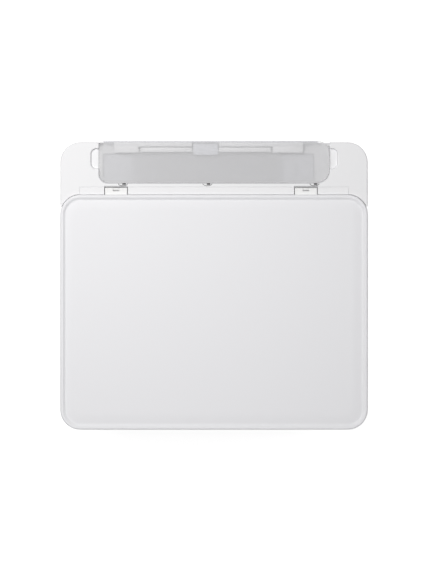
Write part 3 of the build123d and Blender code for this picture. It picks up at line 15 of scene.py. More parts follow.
import bmesh
import bpy
from mathutils import Euler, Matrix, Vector

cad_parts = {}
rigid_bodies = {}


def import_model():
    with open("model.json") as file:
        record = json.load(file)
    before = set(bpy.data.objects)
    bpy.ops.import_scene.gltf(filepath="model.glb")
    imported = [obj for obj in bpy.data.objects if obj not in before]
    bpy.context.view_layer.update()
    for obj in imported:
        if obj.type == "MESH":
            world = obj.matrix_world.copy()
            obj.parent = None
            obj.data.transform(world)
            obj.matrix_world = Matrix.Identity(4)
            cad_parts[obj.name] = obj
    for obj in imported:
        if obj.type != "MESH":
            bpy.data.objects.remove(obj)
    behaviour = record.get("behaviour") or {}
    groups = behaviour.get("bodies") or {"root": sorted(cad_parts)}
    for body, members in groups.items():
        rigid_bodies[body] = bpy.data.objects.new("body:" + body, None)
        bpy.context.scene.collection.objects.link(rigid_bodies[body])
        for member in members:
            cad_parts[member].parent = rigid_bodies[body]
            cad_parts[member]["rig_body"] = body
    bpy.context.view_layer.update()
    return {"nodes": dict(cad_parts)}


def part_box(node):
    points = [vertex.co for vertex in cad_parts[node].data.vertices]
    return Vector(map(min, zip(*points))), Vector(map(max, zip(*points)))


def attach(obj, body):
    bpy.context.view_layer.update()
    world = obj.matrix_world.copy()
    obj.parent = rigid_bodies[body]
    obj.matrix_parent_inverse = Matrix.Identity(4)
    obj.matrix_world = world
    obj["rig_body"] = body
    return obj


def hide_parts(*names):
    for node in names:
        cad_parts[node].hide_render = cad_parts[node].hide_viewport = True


LOG = logging.getLogger("printer")
MM = 0.001
BACK_Y = 175.0
DECK_Z = 138.0


def linear(hex_colour: str) -> tuple[float, float, float, float]:
    """Turn an sRGB hex colour to linear light.

    Args:
        hex_colour: Six hex digits with a leading hash.

    Returns:
        Red, green, blue and an alpha of 1.
    """
    parts = [int(hex_colour[i : i + 2], 16) / 255 for i in (1, 3, 5)]
    lin = [c / 12.92 if c <= 0.04045 else ((c + 0.055) / 1.055) ** 2.4 for c in parts]
    return (lin[0], lin[1], lin[2], 1.0)


def node(
    tree: bpy.types.NodeTree,
    kind: str,
    settings: dict[str, object] | None = None,
    links: dict[str | int, bpy.types.NodeSocket] | None = None,
) -> bpy.types.Node:
    """Add a node with its settings and links.

    Args:
        tree: The node tree that gets the node.
        kind: The node's type name.
        settings: Attribute or input values, by name.
        links: Output sockets to join to this node's inputs, by input name or number.

    Returns:
        The new node.
    """
    made = tree.nodes.new(kind)
    for name, value in (settings or {}).items():
        if hasattr(made, name):
            setattr(made, name, value)
        else:
            made.inputs[name].default_value = value
    for name, socket in (links or {}).items():
        tree.links.new(socket, made.inputs[name])
    return made


class Texture(Enum):
    """How a surface was made, which sets its pattern."""

    SPARK_ERODED = "spark_eroded"
    POLISHED = "polished"
    BRUSHED = "brushed"
    FOAM = "foam"
    RUBBER = "rubber"
    BOARD = "board"


@dataclass(frozen=True)
class Finish:
    """One material of the machine.

    Attributes:
        title: The material's name.
        colour: Its sRGB colour as hex.
        texture: How its surface was made.
        roughness: The middle of its roughness.
        grain_mm: The size of the pattern, in millimetres.
        bump_mm: The height of the pattern, in millimetres.
        tone: How far the colour drifts over the piece, as a share.
        metallic: 1 for a metal.
        ior: The index of refraction, unused on a metal.
        alpha: Below 1 for a tinted sheet that lets light through.
        coat: The weight of a clear coat.
    """

    title: str
    colour: str
    texture: Texture = Texture.SPARK_ERODED
    roughness: float = 0.5
    grain_mm: float = 0.9
    bump_mm: float = 0.012
    tone: float = 0.02
    metallic: float = 0.0
    ior: float = 1.5
    alpha: float = 1.0
    coat: float = 0.0

    def build(self) -> bpy.types.Material:
        """Make the node material.

        Returns:
            The material, ready to be put on a piece.
        """
        material = bpy.data.materials.new(self.title)
        material.use_nodes = True
        tree = material.node_tree
        tree.nodes.clear()
        place = node(tree, "ShaderNodeTexCoord").outputs["Object"]
        pattern, drift = self._patterns(tree, place)
        colour = node(
            tree,
            "ShaderNodeMix",
            {"data_type": "RGBA", "blend_type": "MULTIPLY"},
        )
        colour.inputs["Factor"].default_value = 1.0
        colour.inputs["A"].default_value = linear(self.colour)
        tree.links.new(self._tone(tree, drift), colour.inputs["B"])
        rough = node(
            tree,
            "ShaderNodeMapRange",
            {"To Min": max(0.02, self.roughness - 0.05), "To Max": self.roughness + 0.05},
            {"Value": drift},
        )
        bump = node(
            tree,
            "ShaderNodeBump",
            {"Distance": self.bump_mm * MM, "Strength": 1.0},
            {"Height": pattern},
        )
        shader = node(
            tree,
            "ShaderNodeBsdfPrincipled",
            {"Metallic": self.metallic, "Alpha": self.alpha},
            {
                "Base Color": colour.outputs["Result"],
                "Roughness": rough.outputs["Result"],
                "Normal": bump.outputs["Normal"],
            },
        )
        shader.inputs["Coat Weight"].default_value = self.coat
        if not self.metallic:
            shader.inputs["IOR"].default_value = self.ior
        output = node(tree, "ShaderNodeOutputMaterial")
        tree.links.new(shader.outputs["BSDF"], output.inputs["Surface"])
        return material

    def _tone(self, tree: bpy.types.NodeTree, drift: bpy.types.NodeSocket) -> bpy.types.NodeSocket:
        """Turn the slow drift into a near-white multiplier.

        Args:
            tree: The material's node tree.
            drift: The slow drift, from 0 to 1.

        Returns:
            The multiplier, as a colour.
        """
        ramp = node(tree, "ShaderNodeValToRGB", links={"Fac": drift})
        low = 1.0 - self.tone
        ramp.color_ramp.elements[0].color = (low, low, low, 1.0)
        ramp.color_ramp.elements[1].color = (1.0, 1.0, 1.0, 1.0)
        return ramp.outputs["Color"]

    def _patterns(
        self, tree: bpy.types.NodeTree, place: bpy.types.NodeSocket
    ) -> tuple[bpy.types.NodeSocket, bpy.types.NodeSocket]:
        """Draw the fine pattern and the slow drift.

        Args:
            tree: The material's node tree.
            place: Object coordinates, in metres.

        Returns:
            The pattern's height and the drift, each from 0 to 1.
        """
        drift = node(
            tree,
            "ShaderNodeTexNoise",
            {"Scale": 14.0, "Detail": 3.0, "Roughness": 0.5},
            {"Vector": place},
        ).outputs["Fac"]
        per_metre = 1.0 / (self.grain_mm * MM)
        if self.texture is Texture.BRUSHED:
            stretched = node(
                tree,
                "ShaderNodeMapping",
                {"vector_type": "POINT"},
                {"Vector": place},
            )
            stretched.inputs["Scale"].default_value = (0.04, 1.0, 1.0)
            place = stretched.outputs["Vector"]
        if self.texture is Texture.FOAM:
            cells = node(
                tree, "ShaderNodeTexVoronoi", {"Scale": per_metre}, {"Vector": place}
            )
            return cells.outputs["Distance"], drift
        if self.texture is Texture.BOARD:
            traces = node(
                tree,
                "ShaderNodeTexBrick",
                {"Scale": 1.0, "Mortar Size": 0.12 * self.grain_mm * MM, "Mortar Smooth": 0.1},
                {"Vector": place},
            )
            traces.inputs["Brick Width"].default_value = 6 * self.grain_mm * MM
            traces.inputs["Row Height"].default_value = self.grain_mm * MM
            return traces.outputs["Fac"], drift
        grain = node(
            tree,
            "ShaderNodeTexNoise",
            {"Scale": per_metre, "Detail": 2.0, "Roughness": 0.6},
            {"Vector": place},
        )
        return grain.outputs["Fac"], drift


# Injection-moulded ABS with a spark-eroded texture: matt, with a soft highlight. The real grain is
# about 0.1 mm, and it is drawn at 0.9 mm so that it shows in the render.
CASE_WHITE = Finish("moulded_abs_white", "#E6E6E8", roughness=0.48, tone=0.015)
LID_WHITE = Finish("moulded_abs_lid", "#E5E5E8", roughness=0.5, grain_mm=1.1, tone=0.012)
INNER_WHITE = Finish("moulded_abs_inner", "#DDDDDF", roughness=0.42, tone=0.015)
LINER_WHITE = Finish("moulded_abs_liner", "#E8E8E8", Texture.POLISHED, 0.3, bump_mm=0.004)
# Closed-cell foam behind a white film: soft, with cells of about 1.5 mm that press through.
PAD_WHITE = Finish("foam_pad_white", "#F2F2F0", Texture.FOAM, 0.8, 1.5, 0.05)
# Moulded acetal: slightly waxy and off-white, so gears look denser than the case.
ACETAL = Finish("moulded_acetal", "#DAD7CC", Texture.POLISHED, 0.35, bump_mm=0.003)
# Tinted polycarbonate, moulded with a fine matt face: what lies under it shows through.
TINTED = Finish(
    "tinted_polycarbonate", "#E0E0E2", Texture.SPARK_ERODED, 0.3, 1.0, 0.006, 0.01,
    ior=1.58, alpha=0.36,
)
# The same resin without tint, in the thin plate that slides inside it.
CLEAR_SHEET = Finish(
    "clear_polycarbonate", "#E6E6E9", Texture.POLISHED, 0.2, 1.0, 0.004, 0.01,
    ior=1.58, alpha=0.1,
)
FLAP_GREY = Finish("moulded_abs_pale_grey", "#D2D3D8", roughness=0.5)
DARK_GREY = Finish("moulded_abs_dark_grey", "#2B2B2D", roughness=0.55, bump_mm=0.02, tone=0.08)
TRAY_GREY = Finish("moulded_abs_tray_grey", "#3A3A3D", roughness=0.5, bump_mm=0.02, tone=0.08)
CASSETTE_GREY = Finish("moulded_abs_cassette", "#434347", roughness=0.5, bump_mm=0.02, tone=0.08)
BLACK = Finish("moulded_abs_black", "#1C1C1E", roughness=0.5, bump_mm=0.02, tone=0.1)
GUIDE_GREY = Finish("moulded_abs_guide_grey", "#7C7C80", roughness=0.45, tone=0.05)
SCREEN = Finish("screen_glass_black", "#08090B", Texture.POLISHED, 0.08, bump_mm=0.0, ior=1.4)
# Natural rubber, ground to size: dull, with a fine speckle.
FOOT_RUBBER = Finish("moulded_rubber", "#1B1B1B", Texture.RUBBER, 0.75, 0.6, 0.04, 0.15)
ROLLER_RUBBER = Finish("ground_rubber", "#3E3E40", Texture.RUBBER, 0.7, 0.5, 0.05, 0.12)
BELT_RUBBER = Finish("belt_rubber", "#151515", Texture.RUBBER, 0.65, 0.8, 0.05, 0.1)
# Zinc-plated steel sheet: rolled, so its fine lines run one way.
SHEET_STEEL = Finish(
    "zinc_plated_steel", "#B9BABC", Texture.BRUSHED, 0.34, 0.5, 0.004, 0.06, metallic=1.0
)
GROUND_STEEL = Finish(
    "ground_steel", "#C9CACC", Texture.BRUSHED, 0.2, 0.3, 0.002, 0.04, metallic=1.0
)
MOTOR_STEEL = Finish(
    "plated_motor_can", "#A6A7A9", Texture.BRUSHED, 0.3, 0.6, 0.004, 0.06, metallic=1.0
)
# Glass-fibre board under green solder mask, with copper tracks as low ridges.
BOARD_GREEN = Finish(
    "solder_mask_green", "#14502C", Texture.BOARD, 0.32, 2.0, 0.05, 0.12, coat=0.4
)
KEY_GREY = Finish("moulded_key_grey", "#9A9A9E", roughness=0.4, tone=0.03)
INK_MARK = Finish("printed_mark_grey", "#55565A", Texture.POLISHED, 0.4, bump_mm=0.002)
# White polypropylene of the living hinge band, seen through the tinted sheet.
BAND_WHITE = Finish("moulded_pp_white", "#DDDDDF", Texture.POLISHED, 0.4, bump_mm=0.004)
# Opal acrylic over the status lamp, unlit.
LAMP_WHITE = Finish("opal_acrylic", "#F0F3F2", Texture.POLISHED, 0.15, bump_mm=0.002, coat=0.5)
# Printed film labels on the cartridges: gloss over flat ink.
LABEL_COLOUR = Finish("label_film_blue", "#2F6F9E", Texture.POLISHED, 0.25, bump_mm=0.003, coat=0.3)
LABEL_BLACK = Finish("label_film_grey", "#4A4B4E", Texture.POLISHED, 0.25, bump_mm=0.003, coat=0.3)

NODE_FINISHES: dict[str, Finish] = {
    "outer_case": CASE_WHITE,
    "rear_deck": CASE_WHITE,
    "transport_cover": CASE_WHITE,
    "operation_panel": CASE_WHITE,
    "scanner_base": CASE_WHITE,
    "scanner_top": INNER_WHITE,
    "lid_cover": LID_WHITE,
    "lid_liner": LINER_WHITE,
    "document_pad": PAD_WHITE,
    "lid_hinge_legs": LINER_WHITE,
    "paper_support": TINTED,
    "support_extension": CLEAR_SHEET,
    "feed_slot_cover": FLAP_GREY,
    "bottom_case": DARK_GREY,
    "rubber_feet": FOOT_RUBBER,
    "case_screws": SHEET_STEEL,
    "mid_frame": BLACK,
    "engine_frame": SHEET_STEEL,
    "guide_rod": GROUND_STEEL,
    "feed_motor": MOTOR_STEEL,
    "roller_carriers": BLACK,
    "platen": BLACK,
    "turn_guide": BLACK,
    "carriage_belt": BELT_RUBBER,
    "carriage_motor": MOTOR_STEEL,
    "maintenance_station": BLACK,
    "feed_plate": BLACK,
    "power_supply": DARK_GREY,
    "main_board": BOARD_GREEN,
    "panel_screen": SCREEN,
    "stop_button": KEY_GREY,
    "start_button": KEY_GREY,
    "power_button": KEY_GREY,
    "output_tray": TRAY_GREY,
    "paper_stopper": TRAY_GREY,
    "cassette": CASSETTE_GREY,
    "lift_plate": SHEET_STEEL,
    "paper_guide_left": GUIDE_GREY,
    "paper_guide_right": GUIDE_GREY,
    "end_guide": GUIDE_GREY,
    "pickup_arm": BLACK,
    "pickup_roller": ROLLER_RUBBER,
    "hopper_plate": GUIDE_GREY,
    "rear_roller": ROLLER_RUBBER,
    "feed_roller": GROUND_STEEL,
    "idler_gear": ACETAL,
    "motor_pinion": ACETAL,
    "eject_roller": ROLLER_RUBBER,
    "pinch_rollers": ROLLER_RUBBER,
    "star_wheels": GROUND_STEEL,
    "carriage": BLACK,
    "ink_cartridges": DARK_GREY,
    "lever_left": GUIDE_GREY,
    "lever_right": GUIDE_GREY,
    "motor_pulley": ACETAL,
    "idler_pulley": ACETAL,
    "scan_rail": GROUND_STEEL,
    "scan_bar": BLACK,
    "scanner_stay": TRAY_GREY,
}


class Workshop:
    """Keeps each finish's material, so that pieces share it."""

    def __init__(self) -> None:
        """Start with no material made."""
        self._made: dict[str, bpy.types.Material] = {}

    def dress(self, piece: bpy.types.Object, *finishes: Finish) -> None:
        """Put finishes on a piece in place of what it has.

        Args:
            piece: The piece.
            finishes: One finish for each slot, in order.
        """
        numbers = [face.material_index for face in piece.data.polygons]
        piece.data.materials.clear()
        for finish in finishes:
            if finish.title not in self._made:
                self._made[finish.title] = finish.build()
            piece.data.materials.append(self._made[finish.title])
        if len(finishes) > 1:
            piece.data.polygons.foreach_set("material_index", numbers)


def shade(bm: bmesh.types.BMesh, sharp_degrees: float = 35.0) -> None:
    """Smooth the faces, and keep the edges that are sharper than an angle.

    Args:
        bm: The mesh.
        sharp_degrees: The angle.
    """
    for face in bm.faces:
        face.smooth = True
    for edge in bm.edges:
        if len(edge.link_faces) == 2:
            edge.smooth = edge.calc_face_angle(0.0) < math.radians(sharp_degrees)


def publish(bm: bmesh.types.BMesh, name: str, body: str) -> bpy.types.Object:
    """Turn a bmesh into a piece that rides on a body.

    Args:
        bm: The finished mesh, in metres in the row frame. It is freed here.
        name: The piece's name.
        body: The CAD body that it moves with.

    Returns:
        The new object.
    """
    mesh = bpy.data.meshes.new(name)
    bm.to_mesh(mesh)
    bm.free()
    piece = bpy.data.objects.new(name, mesh)
    bpy.context.scene.collection.objects.link(piece)
    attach(piece, body)
    LOG.info("%s rides on %s with %d faces", name, body, len(mesh.polygons))
    return piece


def parted(
    node_name: str,
    workshop: Workshop,
    finishes: tuple[Finish, ...],
    choose: Callable[[Vector], int],
) -> None:
    """Put a copy in place of a CAD node of several materials, and dress each part of it.

    Args:
        node_name: The CAD node.
        workshop: Where the materials come from.
        finishes: The finishes, in order.
        choose: Gives a finish's number for a point on the node, in millimetres.
    """
    source = bpy.data.objects[node_name]
    bm = bmesh.new()
    bm.from_mesh(source.data)
    bmesh.ops.remove_doubles(bm, verts=bm.verts[:], dist=0.002 * MM)
    shade(bm)
    for face in bm.faces:
        face.material_index = choose(face.calc_center_median() / MM)
    piece = publish(bm, f"{node_name}_dressed", source["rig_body"])
    workshop.dress(piece, *finishes)
    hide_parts(node_name)


def rounded_plate(
    bm: bmesh.types.BMesh,
    centre: tuple[float, float, float],
    size: tuple[float, float],
    radius: float,
    segments: int = 16,
) -> bmesh.types.BMFace:
    """Add a flat rounded rectangle that faces up.

    Args:
        bm: The mesh that gets the face.
        centre: Its middle, in millimetres.
        size: Width and depth, in millimetres.
        radius: The corner radius, in millimetres.
        segments: Edges in each corner.

    Returns:
        The face.
    """
    made = bmesh.ops.create_grid(bm, x_segments=1, y_segments=1, size=0.5)
    bmesh.ops.scale(bm, vec=(size[0] * MM, size[1] * MM, 1.0), verts=made["verts"])
    bmesh.ops.translate(bm, vec=Vector(centre) * MM, verts=made["verts"])
    rounded = bmesh.ops.bevel(
        bm,
        geom=made["verts"],
        offset=radius * MM,
        offset_type="OFFSET",
        affect="VERTICES",
        segments=segments,
        profile=0.5,
        material=-1,
    )
    face = max(rounded["verts"][0].link_faces, key=lambda f: f.calc_area())
    if face.normal.z < 0:
        face.normal_flip()
    return face


def moulded_plate(
    bm: bmesh.types.BMesh,
    x: tuple[float, float],
    y: tuple[float, float],
    z: tuple[float, float],
    radius: float = 1.0,
    edge: float = 0.2,
    segments: int = 6,
) -> None:
    """Add a plate with round corners and a softened upper edge.

    Args:
        bm: The mesh that gets the plate.
        x: Its left and right limits, in millimetres.
        y: Its front and back limits.
        z: Its lower and upper limits.
        radius: The corner radius.
        edge: The width of the softened edge.
        segments: Edges in each corner.
    """
    lower = rounded_plate(
        bm,
        ((x[0] + x[1]) / 2, (y[0] + y[1]) / 2, z[0]),
        (x[1] - x[0], y[1] - y[0]),
        radius,
        segments,
    )
    grown = bmesh.ops.extrude_face_region(bm, geom=[lower], use_keep_orig=True)
    top = next(g for g in grown["geom"] if isinstance(g, bmesh.types.BMFace))
    bmesh.ops.translate(bm, vec=(0, 0, (z[1] - z[0] - edge) * MM), verts=top.verts[:])
    lower.normal_flip()
    for inwards, upwards in ((0.3 * edge, 0.7 * edge), (0.7 * edge, 0.3 * edge)):
        bmesh.ops.inset_region(
            bm,
            faces=[top],
            thickness=inwards * MM,
            depth=upwards * MM,
            use_even_offset=True,
            use_boundary=True,
        )


def ring_of(
    bm: bmesh.types.BMesh, plate: bmesh.types.BMFace, width: float
) -> list[bmesh.types.BMFace]:
    """Cut the middle out of a flat face.

    Args:
        bm: The mesh that has the face.
        plate: The face, which is deleted.
        width: The width of the ring that is left, in millimetres.

    Returns:
        The ring's faces.
    """
    inset = bmesh.ops.inset_region(
        bm, faces=[plate], thickness=width * MM, use_even_offset=True, use_boundary=True
    )
    bmesh.ops.delete(bm, geom=[plate], context="FACES_ONLY")
    return inset["faces"]


def thicken(bm: bmesh.types.BMesh, height: float) -> None:
    """Grow every face upwards, and close the sides.

    Args:
        bm: The mesh to grow.
        height: How far the faces rise, in millimetres.
    """
    grown = bmesh.ops.extrude_face_region(bm, geom=bm.faces[:])
    lifted = [g for g in grown["geom"] if isinstance(g, bmesh.types.BMVert)]
    bmesh.ops.translate(bm, vec=(0, 0, height * MM), verts=lifted)


def turned_to_front(bm: bmesh.types.BMesh, y: float) -> None:
    """Stand up what was made flat, so that its top faces the front.

    Args:
        bm: The mesh to turn.
        y: Where its underside comes to lie, in millimetres.
    """
    for vert in bm.verts:
        along, across, up = vert.co
        vert.co = Vector((along, y * MM - up, across))
    bmesh.ops.recalc_face_normals(bm, faces=bm.faces[:])


@dataclass
class Lid:
    """The document lid's outer cover: a flat rim, a sloped inner wall and a crowned floor.

    Sizes are in millimetres.
    """

    workshop: Workshop
    front_y: float = -176.5
    back_y: float = 110.8
    half_width: float = 188.0
    corner: float = 24.5
    bottom_z: float = 127.3
    top_z: float = 141.0
    skin: float = 2.2
    ceiling_z: float = 136.6
    edge_height: float = 2.1
    # Each pair is a step inwards and a step up, from the outer edge to the middle of the floor.
    profile: list[tuple[float, float]] = field(
        default_factory=lambda: [
            (0.42, 1.2), (0.28, 0.45), (0.4, 0.3), (0.45, 0.15),
            (0.35, 0.0), (1.5, 0.0),
            (0.2, -0.03), (0.2, -0.11), (0.3, -0.26),
            (1.5, -1.1), (0.45, -0.25), (0.35, -0.13), (0.3, -0.05), (0.3, -0.02),
            (1.2, 0.12), (1.5, 0.17), (1.8, 0.2), (2.0, 0.2), (2.0, 0.16), (2.0, 0.1), (2.2, 0.05),
        ]
    )

    def build(self) -> None:
        """Model the cover from its outline, inwards over the rim and down to the floor."""
        bm = bmesh.new()
        depth = self.back_y - self.front_y
        outline = rounded_plate(
            bm,
            (0.0, (self.front_y + self.back_y) / 2, self.bottom_z),
            (2 * self.half_width, depth),
            self.corner,
            20,
        )
        grown = bmesh.ops.extrude_face_region(bm, geom=[outline], use_keep_orig=True)
        top = next(g for g in grown["geom"] if isinstance(g, bmesh.types.BMFace))
        rise = (self.top_z - self.bottom_z - self.edge_height) * MM
        bmesh.ops.translate(bm, vec=(0, 0, rise), verts=top.verts[:])
        outline.normal_flip()
        for inwards, upwards in self.profile:
            bmesh.ops.inset_region(
                bm,
                faces=[top],
                thickness=inwards * MM,
                depth=upwards * MM,
                use_even_offset=True,
                use_boundary=True,
            )
        bmesh.ops.inset_region(
            bm, faces=[outline], thickness=self.skin * MM, use_even_offset=True, use_boundary=True
        )
        hollow = bmesh.ops.extrude_face_region(bm, geom=[outline])
        lifted = [g for g in hollow["geom"] if isinstance(g, bmesh.types.BMVert)]
        bmesh.ops.translate(
            bm, vec=(0, 0, (self.ceiling_z - self.bottom_z) * MM), verts=lifted
        )
        bmesh.ops.delete(bm, geom=[outline], context="FACES_ONLY")
        bmesh.ops.recalc_face_normals(bm, faces=bm.faces[:])
        shade(bm, 50.0)
        piece = publish(bm, "lid_cover_crowned", "lid")
        self.workshop.dress(piece, LID_WHITE)
        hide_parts("lid_cover")


@dataclass
class RearTray:
    """What shows through and round the paper support: its hinge band, slots and painted shade.

    Sizes are in millimetres.
    """

    workshop: Workshop
    band_z: tuple[float, float] = (137.2, 138.05)
    band_x: tuple[float, float] = (-122.0, 109.0)
    band_y: tuple[float, float] = (162.2, 176.2)
    bar_y: tuple[float, float] = (163.0, 168.6)
    bar_length: float = 63.5
    bar_gap: float = 2.2
    gap: float = 0.9
    latch_x: tuple[float, float] = (-25.6, 5.2)
    latch_y: tuple[float, float] = (159.6, 173.2)
    latch_z: tuple[float, float] = (136.6, 137.3)
    boss_step: float = 6.5
    boss_y: float = 163.5
    boss_radii: tuple[float, float] = (2.4, 2.0)
    boss_height: float = 0.55
    rim_x: tuple[float, float] = (-134.9, 126.9)
    rim_y: tuple[float, float] = (174.4, 176.45)
    rim_z: tuple[float, float] = (135.4, 138.08)
    slot_xs: tuple[float, ...] = (-111.4, -8.1, 122.9)
    well_front_y: float = 124.4
    # Painted shade: black blocks that fill each slot and stand in for its dark depth.
    slot_shade_x: tuple[float, float] = (-0.7, 3.5)
    slot_shade_y: tuple[float, float] = (-1.5, 0.35)
    slot_shade_z: tuple[float, float] = (DECK_Z - 4.9, DECK_Z - 0.5)
    # Painted shade: a black half ring below the deck that stands in for a narrow groove's shade.
    groove_half: float = 5.97
    groove_reach: float = 3.07
    groove_width: float = 0.6
    groove_z: float = DECK_Z - 0.75
    # Painted shade: a thin black sheet on the trough floor under the support's rear corner.
    corner_shade_x: tuple[float, float] = (-140.8, -135.8)
    corner_shade_y: tuple[float, float] = (170.9, 174.9)
    corner_shade_z: tuple[float, float] = (129.05, 129.4)

    def _publish(self, bm: bmesh.types.BMesh, name: str, finish: Finish) -> None:
        """Shade a piece and let it ride on the paper support.

        Args:
            bm: The piece's mesh.
            name: The piece's name.
            finish: Its finish.
        """
        shade(bm)
        piece = publish(bm, name, "support")
        self.workshop.dress(piece, finish)

    def band(self) -> None:
        """Mould the pale hinge band into the sheet, in two halves beside the latch block."""
        bm = bmesh.new()
        behind = (self.bar_y[1] + self.gap, self.band_y[1])
        before = (self.band_y[0], self.bar_y[1] + self.gap + 0.02)
        for inner, outer in (
            (self.latch_x[0] - self.gap, self.band_x[0]),
            (self.latch_x[1] + self.gap, self.band_x[1]),
        ):
            step = math.copysign(1.0, outer - inner)
            bar_end = inner + step * self.bar_length
            rest = bar_end + step * self.bar_gap
            for ends, y in (
                ((inner, outer), behind),
                ((inner, bar_end), self.bar_y),
                ((rest, outer), before),
            ):
                moulded_plate(bm, (min(ends), max(ends)), y, self.band_z, 0.8, 0.1, 3)
        self._publish(bm, "support_hinge_band", BAND_WHITE)

    def rim(self) -> None:
        """Mould the solid rim along the sheet's back edge."""
        bm = bmesh.new()
        moulded_plate(bm, self.rim_x, self.rim_y, self.rim_z, 0.4, 0.15, 2)
        self._publish(bm, "support_back_rim", FLAP_GREY)

    def latch_block(self) -> None:
        """Mould the block in the middle of the hinge band, with two round bosses on it."""
        bm = bmesh.new()
        moulded_plate(bm, self.latch_x, self.latch_y, self.latch_z, 1.6, 0.2)
        middle = sum(self.latch_x) / 2
        for x in (middle - self.boss_step, middle + self.boss_step):
            boss = bmesh.ops.create_cone(
                bm,
                cap_ends=True,
                segments=20,
                radius1=self.boss_radii[0] * MM,
                radius2=self.boss_radii[1] * MM,
                depth=self.boss_height * MM,
            )
            place = Vector((x, self.boss_y, self.latch_z[1] + self.boss_height / 2)) * MM
            bmesh.ops.translate(bm, vec=place, verts=boss["verts"])
        self._publish(bm, "support_latch_block", FLAP_GREY)

    def _groove_shade(self, bm: bmesh.types.BMesh, x: float) -> None:
        """Paint the groove's shade in front of a slot, as the black front half of an oval ring.

        Args:
            bm: The mesh that takes the ring.
            x: The middle of the groove, in millimetres.
        """
        circle = bmesh.ops.create_circle(bm, cap_ends=True, segments=48, radius=1.0)
        size = (self.groove_half * MM, self.groove_reach * MM, 1.0)
        bmesh.ops.scale(bm, vec=size, verts=circle["verts"])
        place = Vector((x, self.well_front_y, self.groove_z)) * MM
        bmesh.ops.translate(bm, vec=place, verts=circle["verts"])
        ring = ring_of(bm, circle["verts"][0].link_faces[0], self.groove_width)
        bm.normal_update()
        for face in ring:
            if face.normal.z < 0:
                face.normal_flip()
        edges = {edge for face in ring for edge in face.edges}
        verts = {vert for face in ring for vert in face.verts}
        bmesh.ops.bisect_plane(
            bm,
            geom=[*ring, *edges, *verts],
            plane_co=Vector((0.0, self.well_front_y - 0.1, 0.0)) * MM,
            plane_no=(0.0, 1.0, 0.0),
            clear_outer=True,
        )

    def painted_slot_shades(self) -> None:
        """Paint shade as black blocks in the slots, black groove rings and a black sheet under the
        rear corner.
        """
        bm = bmesh.new()
        # Black blocks in the slots are painted shade of the slots' depth.
        for x in self.slot_xs:
            sides = tuple(x + offset for offset in self.slot_shade_x)
            ends = tuple(self.well_front_y + offset for offset in self.slot_shade_y)
            moulded_plate(bm, sides, ends, self.slot_shade_z, 0.3, 0.1, 2)
        # A thin black sheet on the trough floor is painted shade under the rear corner.
        moulded_plate(bm, self.corner_shade_x, self.corner_shade_y, self.corner_shade_z, 0.8, 0.1, 3)
        bmesh.ops.recalc_face_normals(bm, faces=bm.faces[:])
        # Black half rings in the grooves are painted shade.
        for x in self.slot_xs:
            self._groove_shade(bm, x)
        piece = publish(bm, "support_catches", "base")
        self.workshop.dress(piece, BLACK)

    def build(self) -> None:
        """Make every piece of the tray."""
        self.band()
        self.rim()
        self.latch_block()
        self.painted_slot_shades()


